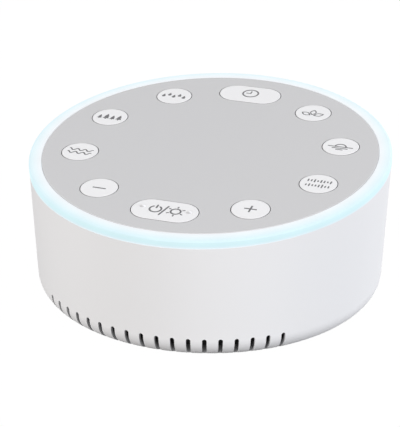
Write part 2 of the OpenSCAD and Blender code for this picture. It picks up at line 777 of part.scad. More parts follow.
module speaker_baffle() {
    color(INNER_WHITE) difference() {
        union() {
            pin(wall_r(baffle_z) - wall_t - baffle_gap, baffle_z, baffle_top);
            translate([0, -speaker_y, 0]) at_turns(DIAGONAL_TURNS, speaker_screw_r)
                pin(boss_r, baffle_z - speaker_boss_h, baffle_z + EPS);
            for (p = MAIN_BOSSES) translate([p[0], p[1], 0]) pin(boss_r, baffle_top - EPS, main_bottom);
        }
        translate([0, -speaker_y, 0]) {
            pin(mouth_r, baffle_z - speaker_boss_h - 1, baffle_top + 1);
            at_turns(DIAGONAL_TURNS, speaker_screw_r)
                pin(small_screw_r + pilot_gap, baffle_top - SPEAKER_REACH - pilot_spare, baffle_top + 1);
        }
        at_turns(POST_TURNS, post_circle_r) pin(post_r + post_gap, baffle_z - 1, baffle_top + 1);
        at_turns(BAFFLE_TURNS, baffle_screw_r) pin(screw_r + screw_gap, baffle_z - 1, baffle_top + 1);
        for (p = MAIN_BOSSES) translate([p[0], p[1], 0])
            pin(small_screw_r + pilot_gap, baffle_z + pilot_spare, main_bottom + 1);
    }
}

module baffle_screws() {
    color(STEEL) at_turns(BAFFLE_TURNS, baffle_screw_r)
        screw_down(screw_r, screw_head_r, screw_head_h, baffle_top, baffle_t + baffle_screw_reach);
}

module speaker_gasket() {
    color(DARK) at_speaker() difference() {
        pin(speaker_r, 0, gasket_t);
        pin(mouth_r, -1, gasket_t + 1);
        at_turns(DIAGONAL_TURNS, speaker_screw_r) pin(small_screw_r + screw_gap, -1, gasket_t + 1);
    }
}

// The basket's inner radius where its wall slopes in from the flange to the rear
function basket_in_r(z) =
    mouth_r + (basket_rear_r - mouth_r) * (z - rim_top) / (rear_low - rim_top);

// Half section of the basket: flange, sloping wall and flat rear
module basket_section() {
    polygon([
        [mouth_r, gasket_t], [speaker_r, gasket_t], [speaker_r, rim_top], [mouth_r + basket_t, rim_top],
        [basket_rear_r + basket_t, rear_low], [basket_rear_r + basket_t, front_plate_z],
        [gap_out_r, front_plate_z], [gap_out_r, rear_low], [basket_rear_r, rear_low], [mouth_r, rim_top]
    ]);
}

module speaker_basket() {
    window_low = (rim_top + rear_low - window_h) / 2;
    color(STEEL) at_speaker() difference() {
        rotate_extrude() basket_section();
        at_turns(DIAGONAL_TURNS, speaker_screw_r) pin(small_screw_r + screw_gap, 0, rim_top + 1);
        for (turn = DIAGONAL_TURNS) rotate([0, 0, turn])
            translate([gap_out_r, -window_w / 2, window_low]) cube([speaker_r, window_w, window_h]);
    }
}

module speaker_screws() {
    color(STEEL) at_speaker() at_turns(DIAGONAL_TURNS, speaker_screw_r)
        screw_down(small_screw_r, small_head_r, small_head_h, rim_top, rim_top + SPEAKER_REACH);
}

module speaker_magnet() {
    color([0.25, 0.25, 0.27]) at_speaker() difference() {
        pin(magnet_r, magnet_z, rear_plate_z);
        pin(gap_out_r + 1, magnet_z - 1, rear_plate_z + 1);
    }
}

module speaker_plates() {
    color(STEEL) at_speaker() {
        difference() {
            pin(magnet_r - 0.5, front_plate_z, magnet_z);
            pin(gap_out_r, front_plate_z - 1, magnet_z + 1);
        }
        pin(magnet_r - 0.5, rear_plate_z, rear_plate_z + yoke_t);
        pin(coil_r - coil_gap, front_plate_z, rear_plate_z + EPS);
    }
}

module speaker_cone() {
    color(DARK) at_speaker() rotate_extrude() polygon([
        [coil_out_r, cone_high], [cone_out_r, cone_low],
        [cone_out_r, cone_low + cone_t], [coil_out_r, cone_high + cone_t]
    ]);
}

// The soft roll that joins the cone to the basket's wall, with a flat lip on each side
module speaker_surround() {
    lip_w = cloth_t + 0.2;
    roll_r = surround_w / 2 - lip_w;
    roll_mid = cone_out_r + lip_w + roll_r;
    color([0.2, 0.2, 0.2]) at_speaker() translate([0, 0, cone_low]) rotate_extrude() {
        intersection() {
            translate([roll_mid, 0]) difference() {
                circle(r = roll_r);
                circle(r = roll_r - cloth_t);
            }
            translate([0, -EPS]) square([FAR, FAR]);
        }
        for (x = [cone_out_r, mouth_r - lip_w - cloth_t]) translate([x, 0])
            square([lip_w + cloth_t, cloth_t]);
    }
}

module speaker_dust_cap() {
    dome_r = 9;
    dome_z = cone_high + sqrt(dome_r * dome_r - coil_out_r * coil_out_r);
    color(DARK) at_speaker() intersection() {
        translate([0, 0, dome_z]) difference() {
            sphere(r = dome_r);
            sphere(r = dome_r - cone_t);
        }
        pin(coil_out_r, 0, cone_high);
    }
}

module speaker_coil() {
    color(COPPER) at_speaker() difference() {
        pin(coil_out_r, cone_high, magnet_z + 1);
        pin(coil_r, cone_high - 1, magnet_z + 2);
    }
}

// The pleated cloth that keeps the coil centred in the basket
module speaker_spider() {
    pitch = (basket_in_r(spider_z + cloth_t) - coil_out_r) / pleat_count;
    color([0.75, 0.6, 0.35]) at_speaker() translate([0, 0, spider_z]) rotate_extrude()
        for (i = [0 : pleat_count - 1]) translate([coil_out_r + i * pitch, 0]) polygon([
            [0, 0], [pitch / 2, cloth_t], [pitch, 0],
            [pitch, cloth_t], [pitch / 2, 2 * cloth_t], [0, cloth_t]
        ]);
}

// ---------------------------------------------------------------- main board and socket

module main_board_outline() {
    intersection() {
        translate([-main_half_w, main_front_y]) square([2 * main_half_w, FAR]);
        circle(r = main_rear_r);
    }
}

module main_board() {
    color(BOARD_GREEN) difference() {
        translate([0, 0, main_bottom]) linear_extrude(board_t) main_board_outline();
        for (p = MAIN_BOSSES) translate([p[0], p[1], 0])
            pin(small_screw_r + screw_gap, main_bottom - 1, main_top + 1);
    }
}

module main_board_screws() {
    color(STEEL) for (p = MAIN_BOSSES) translate([p[0], p[1], 0])
        screw_down(small_screw_r, small_head_r, small_head_h, main_top, board_t + MAIN_REACH);
}

module main_chips() {
    color(DARK) for (c = CHIPS) translate([c[0], main_front_y + c[1], main_top]) {
        translate([-c[2] / 2, -c[3] / 2, 0]) cube([c[2], c[3], CHIP_H]);
        for (i = [0 : CHIP_LEGS - 1])
            translate([
                -c[2] / 2 - CHIP_LEG[0],
                (i - (CHIP_LEGS - 1) / 2) * c[3] / (CHIP_LEGS + 0.5) - CHIP_LEG[1] / 2,
                0
            ]) cube([c[2] + 2 * CHIP_LEG[0], CHIP_LEG[1], CHIP_LEG[2]]);
    }
}

module main_capacitors() {
    color([0.2, 0.2, 0.3]) for (c = CAPACITORS) translate([c[0], main_rear_boss_y - c[1], 0])
        pin(c[2], main_top, main_top + c[3]);
}

module power_socket() {
    color(DARK) difference() {
        union() {
            translate([-socket_w / 2, shoulder_y - socket_l, main_top]) cube([socket_w, socket_l, socket_h]);
            translate([0, 0, socket_z]) rotate([-90, 0, 0]) pin(socket_collar_r, shoulder_y - EPS, mouth_y);
        }
        translate([0, 0, socket_z]) rotate([-90, 0, 0]) pin(socket_r, mouth_y - socket_depth, mouth_y + 1);
    }
}

module power_socket_pin() {
    tip_h = 0.6;
    neck_y = mouth_y - pin_recess - tip_h;
    color(STEEL) translate([0, 0, socket_z]) rotate([-90, 0, 0]) {
        pin(socket_pin_r, mouth_y - socket_depth, neck_y + EPS);
        translate([0, 0, neck_y]) cylinder(r1 = socket_pin_r, r2 = socket_pin_r - 0.4, h = tip_h);
    }
}

// ---------------------------------------------------------------- cables inside

module cable_plugs() {
    color([0.9, 0.88, 0.8]) {
        translate([-ribbon_plug[0] / 2, ribbon_y - ribbon_plug[1] / 2, main_top]) cube(ribbon_plug);
        translate([-lead_plug_x - lead_plug[0] / 2, lead_plug_y, main_top]) cube(lead_plug);
        difference() {
            translate([-ribbon_plug[0] / 2, ribbon_y - ribbon_plug[1] / 2, ribbon_head_z])
                cube([ribbon_plug[0], ribbon_plug[1], 2 * ribbon_plug[2]]);
            above_slope(board_bottom);
        }
    }
}

module speaker_terminals() {
    color([0.45, 0.3, 0.15])
        translate([-terminal_w / 2, terminal_y - terminal_t, terminal_z])
            cube([terminal_w, terminal_t, terminal_h]);
}

// The ribbon rises from its lower plug and bows forward on the way to the upper one
module ribbon_cable() {
    steps = 16;
    bow = 3;
    height = ribbon_head_z - ribbon_foot_z;
    function route(i) = [ribbon_y - bow * (1 - cos(360 * i / steps)) / 2, ribbon_foot_z + height * i / steps];
    near = [for (i = [0 : steps]) route(i) - [ribbon_t / 2, 0]];
    far = [for (i = [steps : -1 : 0]) route(i) + [ribbon_t / 2, 0]];
    color([0.6, 0.6, 0.62]) translate([-ribbon_w / 2, 0, 0]) rotate([90, 0, 90])
        linear_extrude(ribbon_w) polygon(concat(near, far));
}

// The two leads bow up and over from the speaker's terminals to their plug, each a swept tube
function bezier(p, t) = let (u = 1 - t)
    u * u * u * p[0] + 3 * t * u * u * p[1] + 3 * t * t * u * p[2] + t * t * t * p[3];
function lead_route(side) =
    let (
        start = [side * lead_pitch / 2, terminal_y, terminal_z + terminal_h - 1.4],
        end = [side * lead_pitch / 2 - lead_plug_x, lead_plug_y, main_top + lead_plug[2] - 1.6],
        stub = [0, lead_r, 0],
        rise = [0, lead_bow, lead_bow / 2],
        ends = [start + stub, start + rise, [end[0], end[1] - rise[1], end[2] + rise[2]], end - stub]
    )
    concat([start], [for (i = [0 : LEAD_STEPS]) bezier(ends, i / LEAD_STEPS)], [end]);
function unit(v) = v / norm(v);
function ring_at(points, i) =
    let (
        ahead = points[min(i + 1, len(points) - 1)] - points[max(i - 1, 0)],
        along = unit(ahead),
        side = unit(cross(along, [0, 0, 1])),
        up = cross(side, along)
    )
    [for (s = [0 : LEAD_SIDES - 1])
        points[i] + lead_r * (side * cos(360 * s / LEAD_SIDES) + up * sin(360 * s / LEAD_SIDES))];

module lead(points) {
    n = len(points);
    verts = [for (i = [0 : n - 1]) each ring_at(points, i)];
    sides = [for (i = [0 : n - 2], s = [0 : LEAD_SIDES - 1])
        let (a = i * LEAD_SIDES + s, b = i * LEAD_SIDES + (s + 1) % LEAD_SIDES)
        [a, b, b + LEAD_SIDES, a + LEAD_SIDES]];
    low = [for (s = [LEAD_SIDES - 1 : -1 : 0]) s];
    high = [for (s = [0 : LEAD_SIDES - 1]) (n - 1) * LEAD_SIDES + s];
    polyhedron(points = verts, faces = concat([low], sides, [high]), convexity = 4);
}

module speaker_leads() {
    color([0.7, 0.1, 0.1]) lead(lead_route(-1));
    color(DARK) lead(lead_route(1));
}

// ---------------------------------------------------------------- nodes

body_shell();
light_ring();
top_panel();
panel_screws();
key_frame();
dust_mesh();
key("power");  // power_key
key("plus");  // plus_key
key("noise");  // noise_key
key("calm");  // calm_key
key("relax");  // relax_key
key("timer");  // timer_key
key("rain");  // rain_key
key("forest");  // forest_key
key("ocean");  // ocean_key
key("minus");  // minus_key
plunger("power");  // power_plunger
plunger("plus");  // plus_plunger
plunger("noise");  // noise_plunger
plunger("calm");  // calm_plunger
plunger("relax");  // relax_plunger
plunger("timer");  // timer_plunger
plunger("rain");  // rain_plunger
plunger("forest");  // forest_plunger
plunger("ocean");  // ocean_plunger
plunger("minus");  // minus_plunger
switch_housings();
key_board();
board_screws();
ring_leds();
speaker_baffle();
baffle_screws();
speaker_gasket();
speaker_basket();
speaker_screws();
speaker_magnet();
speaker_plates();
speaker_cone();
speaker_surround();
speaker_dust_cap();
speaker_coil();
speaker_spider();
speaker_terminals();
speaker_leads();
main_board();
main_board_screws();
main_chips();
main_capacitors();
cable_plugs();
ribbon_cable();
power_socket();
power_socket_pin();
base_plate();
base_screws();
feet();
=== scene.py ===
"""Looks of a white noise sound machine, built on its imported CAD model.

Every length is in metres, in the CAD model's frame: the origin is the middle of the footprint, +Z is
up, and the power key and the sound slots face -Y. Signs are drawn in millimetres in their key's plane.
"""

import logging
import math
import random
from abc import ABC, abstractmethod
from collections.abc import Callable, Sequence
from dataclasses import dataclass
from enum import Enum

import bmesh
import bpy
from mathutils import Matrix, Vector


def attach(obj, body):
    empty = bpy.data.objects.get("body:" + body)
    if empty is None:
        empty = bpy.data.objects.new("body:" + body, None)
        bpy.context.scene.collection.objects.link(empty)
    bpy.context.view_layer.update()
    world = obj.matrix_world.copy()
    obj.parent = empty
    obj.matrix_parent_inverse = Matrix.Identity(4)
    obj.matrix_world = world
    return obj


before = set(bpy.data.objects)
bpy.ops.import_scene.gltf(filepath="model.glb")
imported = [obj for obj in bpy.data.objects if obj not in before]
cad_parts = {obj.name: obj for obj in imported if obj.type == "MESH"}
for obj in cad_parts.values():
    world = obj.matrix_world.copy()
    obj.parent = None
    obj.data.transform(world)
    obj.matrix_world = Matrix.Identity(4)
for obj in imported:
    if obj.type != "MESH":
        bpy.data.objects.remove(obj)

LOG = logging.getLogger("sound_machine")
MM = 0.001

# The sloping top face: the height of its middle, and its slope down toward the front.
FACE_HEIGHT = 50.6 * MM
FACE_SLOPE = math.radians(5.75)

# The housing's lower edge: the wall's radius there, the edge's rounding and the height of its underside.
WALL_FOOT_R = 60.1 * MM
EDGE_ROUNDING = 7.2 * MM
FOOT_HEIGHT = 1 * MM

Colour = tuple[float, float, float, float]
Point = tuple[float, float]
Feed = bpy.types.NodeSocket | float | Sequence[float]

# The curve from a screen's levels to linear light: straight below its knee, and a power above it.
SCREEN_KNEE = 0.04045
SCREEN_FOOT = 12.92
SCREEN_LIFT = 0.055
SCREEN_POWER = 2.4


def screen(red: int, green: int, blue: int) -> Colour:
    """Turns a colour seen on a screen into the linear one that shaders take.

    Args:
        red: Red, 0 to 255.
        green: Green, 0 to 255.
        blue: Blue, 0 to 255.

    Returns:
        The linear colour, with full alpha.
    """
    linear = []
    for share in (red / 255, green / 255, blue / 255):
        curved = ((share + SCREEN_LIFT) / (1 + SCREEN_LIFT)) ** SCREEN_POWER
        linear.append(share / SCREEN_FOOT if share <= SCREEN_KNEE else curved)
    return (*linear, 1.0)


def grey(level: float) -> Colour:
    """Returns a plain grey of a linear level."""
    return (level, level, level, 1.0)


WHITE = grey(1.0)


# ---------------------------------------------------------------- shader graphs


class Graph:
    """A node tree that is being drawn."""

    def __init__(self, tree: bpy.types.NodeTree) -> None:
        """Starts on a tree.

        Args:
            tree: The tree of a material, a group or the world.
        """
        self.tree = tree

    def add(
        self, kind: str, sockets: dict[str | int, Feed] | None = None, **settings: object
    ) -> bpy.types.Node:
        """Adds a node.

        Args:
            kind: The node's Blender type.
            sockets: What goes into each input, by name or number: another node's socket, or a value.
            settings: The node's own properties.

        Returns:
            The new node.
        """
        node = self.tree.nodes.new(kind)
        for name, value in settings.items():
            setattr(node, name, value)
        for key, value in (sockets or {}).items():
            self.feed(node.inputs[key], value)
        return node

    def feed(self, socket: bpy.types.NodeSocket, value: Feed) -> None:
        """Links a socket to another one, or gives it a value of its own.

        Args:
            socket: The input socket.
            value: The socket that feeds it, or its value.
        """
        if isinstance(value, bpy.types.NodeSocket):
            self.tree.links.new(value, socket)
        else:
            socket.default_value = value

    def math(self, operation: str, *values: Feed) -> bpy.types.NodeSocket:
        """Adds a sum on numbers and returns its result."""
        return self.add("ShaderNodeMath", dict(enumerate(values)), operation=operation).outputs[0]

    def noise(self, place: bpy.types.NodeSocket, scale: Feed, layers: float) -> bpy.types.NodeSocket:
        """Adds noise round 0.5 and returns its value.

        Args:
            place: The position that the noise is read at.
            scale: Waves per metre.
            layers: How many finer layers the noise has.

        Returns:
            The noise's value socket.
        """
        sockets = {"Vector": place, "Scale": scale, "Detail": layers}
        return self.add("ShaderNodeTexNoise", sockets).outputs[0]

    def ramp(
        self, factor: bpy.types.NodeSocket, stops: Sequence[tuple[float, Colour]]
    ) -> bpy.types.NodeSocket:
        """Adds a run of colours and returns its colour.

        Args:
            factor: Where on the run, from 0 to 1.
            stops: Each colour with its place.

        Returns:
            The colour socket.
        """
        node = self.add("ShaderNodeValToRGB", {"Fac": factor})
        elements = node.color_ramp.elements
        while len(elements) < len(stops):
            elements.new(1.0)
        for element, (position, colour) in zip(elements, stops):
            element.position = position
            element.color = colour
        return node.outputs["Color"]

    def spread(self, value: Feed, low: float, high: float) -> bpy.types.NodeSocket:
        """Returns 0 where a value is low, 1 where it is high, and a share in between."""
        sockets = {"Value": value, "From Min": low, "From Max": high}
        return self.add("ShaderNodeMapRange", sockets).outputs["Result"]

    def blend(self, factor: Feed, first: Feed, second: Feed) -> bpy.types.NodeSocket:
        """Mixes two colours.

        Args:
            factor: The second colour's share.
            first: The first colour.
            second: The second colour.

        Returns:
            The mixed colour's socket.
        """
        node = self.add("ShaderNodeMix", {"Factor": factor}, data_type="RGBA")
        colours = [socket for socket in node.inputs if socket.type == "RGBA"]
        self.feed(colours[0], first)
        self.feed(colours[1], second)
        return next(socket for socket in node.outputs if socket.type == "RGBA")


class Effect(ABC):
    """A shader node group that several finishes share. It is built on first use and placed after that."""

    name: str
    inputs: dict[str, float]
    outputs: tuple[str, ...]

    def tree(self) -> bpy.types.NodeTree:
        """Finds the group, and builds it the first time.

        Returns:
            The group.
        """
        known = bpy.data.node_groups.get(self.name)
        if known:
            return known
        tree = bpy.data.node_groups.new(self.name, "ShaderNodeTree")
        for name, value in self.inputs.items():
            socket = tree.interface.new_socket(name=name, in_out="INPUT", socket_type="NodeSocketFloat")
            socket.default_value = value
        for name in self.outputs:
            tree.interface.new_socket(name=name, in_out="OUTPUT", socket_type="NodeSocketFloat")
        graph = Graph(tree)
        given = graph.add("NodeGroupInput")
        place = graph.add("ShaderNodeTexCoord").outputs["Object"]
        results = self.draw(graph, place, given)
        graph.add("NodeGroupOutput", dict(zip(self.outputs, results)))
        return tree

    @abstractmethod
    def draw(self, graph: Graph, place: bpy.types.NodeSocket, given: bpy.types.Node) -> Sequence[Feed]:
        """Draws the effect.

        Args:
            graph: The group's tree.
            place: The position on the object, in metres.
            given: The group's input node.

        Returns:
            One socket for each of the group's outputs.
        """

    def put(self, graph: Graph, **values: float) -> bpy.types.Node:
        """Places the group in a material.

        Args:
            graph: The material's tree.
            values: The group's inputs, with spaces written as underscores.

        Returns:
            The group's node.
        """
        node = graph.add("ShaderNodeGroup", node_tree=self.tree())
        for name, value in values.items():
            graph.feed(node.inputs[name.replace("_", " ")], value)
        return node


class MouldGrain(Effect):
    """The fine eroded surface of a mould, and the slow drift of colour across a large moulding."""

    name = "mould_grain"
    inputs = {"Grain Size": 0.3 * MM, "Drift Size": 40 * MM}
    outputs = ("Height", "Drift", "Speckle")
    GRAIN_LAYERS = 3.0
    DRIFT_LAYERS = 1.0
    GRAIN_SHARE = 0.7
    PIT_SHARE = 0.3

    def draw(self, graph: Graph, place: bpy.types.NodeSocket, given: bpy.types.Node) -> Sequence[Feed]:
        """Draws two layers of grain and one of drift.

        Args:
            graph: The group's tree.
            place: The position on the object, in metres.
            given: The group's input node.

        Returns:
            The surface's height, its slow drift and the grain alone.
        """
        fine = graph.math("DIVIDE", 1.0, given.outputs["Grain Size"])
        grain = graph.noise(place, fine, self.GRAIN_LAYERS)
        pits = graph.add("ShaderNodeTexVoronoi", {"Vector": place, "Scale": fine}).outputs["Distance"]
        rough = graph.math("MULTIPLY", grain, self.GRAIN_SHARE)
        height = graph.math("ADD", rough, graph.math("MULTIPLY", pits, self.PIT_SHARE))
        coarse = graph.math("DIVIDE", 1.0, given.outputs["Drift Size"])
        return height, graph.noise(place, coarse, self.DRIFT_LAYERS), grain


class FaceFrame(Effect):
    """Where a point lies in the frame of the sloping top face."""

    name = "face_frame"
    inputs = {"Middle Height": FACE_HEIGHT, "Slope": FACE_SLOPE}
    outputs = ("Height", "Radius", "Turn")

    def draw(self, graph: Graph, place: bpy.types.NodeSocket, given: bpy.types.Node) -> Sequence[Feed]:
        """Turns the position into the face's own height, distance and angle.

        Args:
            graph: The group's tree.
            place: The position on the object, in metres.
            given: The group's input node.

        Returns:
            The height over the face, the distance from its middle and the angle round it.
        """
        x, y, z = graph.add("ShaderNodeSeparateXYZ", {0: place}).outputs
        rise = graph.math("SUBTRACT", z, given.outputs["Middle Height"])
        sine, cosine = (graph.math(name, given.outputs["Slope"]) for name in ("SINE", "COSINE"))
        rise_up, rise_along = (graph.math("MULTIPLY", rise, share) for share in (cosine, sine))
        depth_up, depth_along = (graph.math("MULTIPLY", y, share) for share in (sine, cosine))
        height = graph.math("SUBTRACT", rise_up, depth_up)
        along = graph.math("ADD", rise_along, depth_along)
        squares = graph.math("ADD", graph.math("MULTIPLY", x, x), graph.math("MULTIPLY", along, along))
        return height, graph.math("SQRT", squares), graph.math("ARCTAN2", along, x)


class DepthUnderSkin(Effect):
    """How deep a point lies under the outside of the round housing, also round its lower edge."""

    name = "depth_under_skin"
    inputs = {
        "Round Radius": EDGE_ROUNDING,
        "Middle Radius": WALL_FOOT_R - EDGE_ROUNDING,
        "Middle Height": FOOT_HEIGHT + EDGE_ROUNDING,
    }
    outputs = ("Depth", "Height")

    def draw(self, graph: Graph, place: bpy.types.NodeSocket, given: bpy.types.Node) -> Sequence[Feed]:
        """Draws the distance to the rounded edge's middle line, taken from its radius.

        Args:
            graph: The group's tree.
            place: The position on the object, in metres.
            given: The group's input node.

        Returns:
            The depth under the skin and the height above the table.
        """
        x, y, z = graph.add("ShaderNodeSeparateXYZ", {0: place}).outputs
        outward = graph.math("SUBTRACT", self.length(graph, x, y), given.outputs["Middle Radius"])
        downward = graph.math("SUBTRACT", given.outputs["Middle Height"], z)
        away = self.length(graph, *(graph.math("MAXIMUM", reach, 0.0) for reach in (outward, downward)))
        return graph.math("SUBTRACT", given.outputs["Round Radius"], away), z

    def length(
        self, graph: Graph, across: bpy.types.NodeSocket, along: bpy.types.NodeSocket
    ) -> bpy.types.NodeSocket:
        """Returns the length of a step across and along."""
        step = graph.add("ShaderNodeCombineXYZ", {0: across, 1: along}).outputs[0]
        return graph.add("ShaderNodeVectorMath", {0: step}, operation="LENGTH").outputs["Value"]


class Handling(Effect):
    """Faint smears that fingers leave, which change only how dull a surface is."""

    name = "handling"
    inputs = {"Smear Size": 5 * MM}
    outputs = ("Smear",)
    STRETCH = (1.0, 0.35, 1.0)
    LAYERS = 4.0

    def draw(self, graph: Graph, place: bpy.types.NodeSocket, given: bpy.types.Node) -> Sequence[Feed]:
        """Draws smears that run one way.

        Args:
            graph: The group's tree.
            place: The position on the object, in metres.
            given: The group's input node.

        Returns:
            The smears, round 0.5.
        """
        drawn = graph.add("ShaderNodeMapping", {"Vector": place, "Scale": self.STRETCH})
        scale = graph.math("DIVIDE", 1.0, given.outputs["Smear Size"])
        return (graph.noise(drawn.outputs[0], scale, self.LAYERS),)


class DrawnScratches(Effect):
    """Fine scratches along one direction, as rolled or turned metal has."""

    name = "drawn_scratches"
    inputs = {"Scratch Width": 0.08 * MM, "Stretch": 0.04}
    outputs = ("Height", "Dullness")
    LAYERS = 2.0
    PATCHES_PER_METRE = 180.0

    def draw(self, graph: Graph, place: bpy.types.NodeSocket, given: bpy.types.Node) -> Sequence[Feed]:
        """Draws noise that is stretched along X.

        Args:
            graph: The group's tree.
            place: The position on the object, in metres.
            given: The group's input node.

        Returns:
            The scratches, and the dull patches between them.
        """
        split = graph.add("ShaderNodeSeparateXYZ", {0: place})
        along = graph.math("MULTIPLY", split.outputs[0], given.outputs["Stretch"])
        joined = graph.add("ShaderNodeCombineXYZ", {0: along, 1: split.outputs[1], 2: split.outputs[2]})
        scale = graph.math("DIVIDE", 1.0, given.outputs["Scratch Width"])
        scratches = graph.noise(joined.outputs[0], scale, self.LAYERS)
        return scratches, graph.noise(place, self.PATCHES_PER_METRE, self.LAYERS)


class CrossedThreads(Effect):
    """Threads that cross at right angles, round the Z axis and along it."""

    name = "crossed_threads"
    inputs = {"Pitch": 0.6 * MM, "Radius": 56 * MM}
    outputs = ("Height", "Gap")
    GAP_LEVEL = 0.35

    def draw(self, graph: Graph, place: bpy.types.NodeSocket, given: bpy.types.Node) -> Sequence[Feed]:
        """Draws one set of threads by angle and one by height.

        Args:
            graph: The group's tree.
            place: The position on the object, in metres.
            given: The group's input node.

        Returns:
            The threads' height, and a mask of the gaps.
        """
        split = graph.add("ShaderNodeSeparateXYZ", {0: place})
        turn = graph.math("ARCTAN2", split.outputs[1], split.outputs[0])
        run = graph.math("MULTIPLY", turn, given.outputs["Radius"])
        waves = [self.thread(graph, length, given) for length in (run, split.outputs[2])]
        height = graph.math("MAXIMUM", *waves)
        return height, graph.math("LESS_THAN", height, self.GAP_LEVEL)

    def thread(
        self, graph: Graph, length: bpy.types.NodeSocket, given: bpy.types.Node
    ) -> bpy.types.NodeSocket:
        """Draws one set of threads.

        Args:
            graph: The group's tree.
            length: The distance across the threads, in metres.
            given: The group's input node.

        Returns:
            A wave from 0 to 1 that is high on each thread.
        """
        phase = graph.math("DIVIDE", length, given.outputs["Pitch"])
        wave = graph.math("SINE", graph.math("MULTIPLY", phase, 2 * math.pi))
        return graph.math("ADD", graph.math("MULTIPLY", wave, 0.5), 0.5)


class BoardTracks(Effect):
    """Raised copper tracks and bare pads on a circuit board."""

    name = "board_tracks"
    inputs = {"Track Pitch": 2.2 * MM}
    outputs = ("Track", "Pad")
    JITTER = 0.6
    TRACK_WIDTH = 0.07
    PAD_REACH = 0.1

    def draw(self, graph: Graph, place: bpy.types.NodeSocket, given: bpy.types.Node) -> Sequence[Feed]:
        """Draws tracks as the borders of uneven cells, and pads at their middles.

        Args:
            graph: The group's tree.
            place: The position on the object, in metres.
            given: The group's input node.

        Returns:
            A mask of the tracks and one of the pads.
        """
        scale = graph.math("DIVIDE", 1.0, given.outputs["Track Pitch"])
        shared = {"Vector": place, "Scale": scale, "Randomness": self.JITTER}
        border = graph.add("ShaderNodeTexVoronoi", shared, feature="DISTANCE_TO_EDGE").outputs["Distance"]
        cell = graph.add("ShaderNodeTexVoronoi", shared, distance="CHEBYCHEV")
        track = graph.math("LESS_THAN", border, self.TRACK_WIDTH)
        pad = graph.math("LESS_THAN", cell.outputs["Distance"], self.PAD_REACH)
        return track, pad


# ---------------------------------------------------------------- finishes


@dataclass(frozen=True)
class Finish(ABC):
    """What a surface is made of. A finish makes its material once.

    Attributes:
        name: The material's name.
        colour: Its main colour.
        roughness: How dull it is, from 0 to 1.
        specular: How strongly it reflects, where 0.5 is plain plastic.
    """

    name: str
    colour: Colour
    roughness: float = 0.5
    specular: float = 0.5

    def material(self) -> bpy.types.Material:
        """Finds the material, and builds it the first time. Its name differs from all of the CAD model's.

        Returns:
            The material.
        """
        name = f"look_{self.name}"
        known = bpy.data.materials.get(name)
        if known:
            return known
        made = bpy.data.materials.new(name)
        made.use_nodes = True
        made.diffuse_color = self.colour
        graph = Graph(made.node_tree)
        shader = made.node_tree.nodes["Principled BSDF"]
        graph.feed(shader.inputs["Base Color"], self.colour)
        graph.feed(shader.inputs["Roughness"], self.roughness)
        graph.feed(shader.inputs["Specular IOR Level"], self.specular)
        self.draw(graph, shader)
        return made

    @abstractmethod
    def draw(self, graph: Graph, shader: bpy.types.Node) -> None:
        """Draws the material's own nodes.

        Args:
            graph: The material's tree.
            shader: Its Principled shader.
        """

    def bump(
        self, graph: Graph, shader: bpy.types.Node, height: bpy.types.NodeSocket, depth: float
    ) -> None:
        """Raises the surface by a height map.

        Args:
            graph: The material's tree.
            shader: Its Principled shader.
            height: The map, from 0 to 1.
            depth: How high the map's 1 is, in metres.
        """
        node = graph.add("ShaderNodeBump", {"Height": height, "Distance": depth, "Strength": 1.0})
        graph.feed(shader.inputs["Normal"], node.outputs["Normal"])

    def vary(self, graph: Graph, factor: bpy.types.NodeSocket, spread: float) -> bpy.types.NodeSocket:
        """Returns the colour, made lighter and darker by a map round 0.5.

        Args:
            graph: The material's tree.
            factor: The map.
            spread: The share that the colour changes by from end to end.

        Returns:
            The colour socket.
        """
        low = tuple(part * (1 - spread / 2) for part in self.colour[:3]) + (1.0,)
        high = tuple(min(part * (1 + spread / 2), 1.0) for part in self.colour[:3]) + (1.0,)
        return graph.blend(factor, low, high)

    def dull(
        self, graph: Graph, shader: bpy.types.Node, factor: bpy.types.NodeSocket, spread: float
    ) -> None:
        """Spreads the roughness round its middle by a map.

        Args:
            graph: The material's tree.
            shader: Its Principled shader.
            factor: The map, from 0 to 1.
            spread: The roughness's change from end to end.
        """
        ends = {"To Min": self.roughness - spread / 2, "To Max": self.roughness + spread / 2}
        node = graph.add("ShaderNodeMapRange", {"Value": factor, **ends})
        graph.feed(shader.inputs["Roughness"], node.outputs["Result"])


@dataclass(frozen=True)
class MouldedPlastic(Finish):
    """Injection-moulded plastic.

    Attributes:
        grain: Size of the mould's grain.
        depth: Height of the grain.
        drift: Share that the colour drifts by over the moulding.
        handled: How much finger smears change its dullness.
    """

    grain: float = 0.35 * MM
    depth: float = 0.004 * MM
    drift: float = 0.02
    handled: float = 0.08

    def draw(self, graph: Graph, shader: bpy.types.Node) -> None:
        """Draws grain, drift and smears.

        Args:
            graph: The material's tree.
            shader: Its Principled shader.
        """
        grain = MouldGrain().put(graph, Grain_Size=self.grain)
        smear = Handling().put(graph)
        graph.feed(shader.inputs["Base Color"], self.vary(graph, grain.outputs["Drift"], self.drift))
        self.dull(graph, shader, smear.outputs["Smear"], self.handled)
        self.bump(graph, shader, grain.outputs["Height"], self.depth)


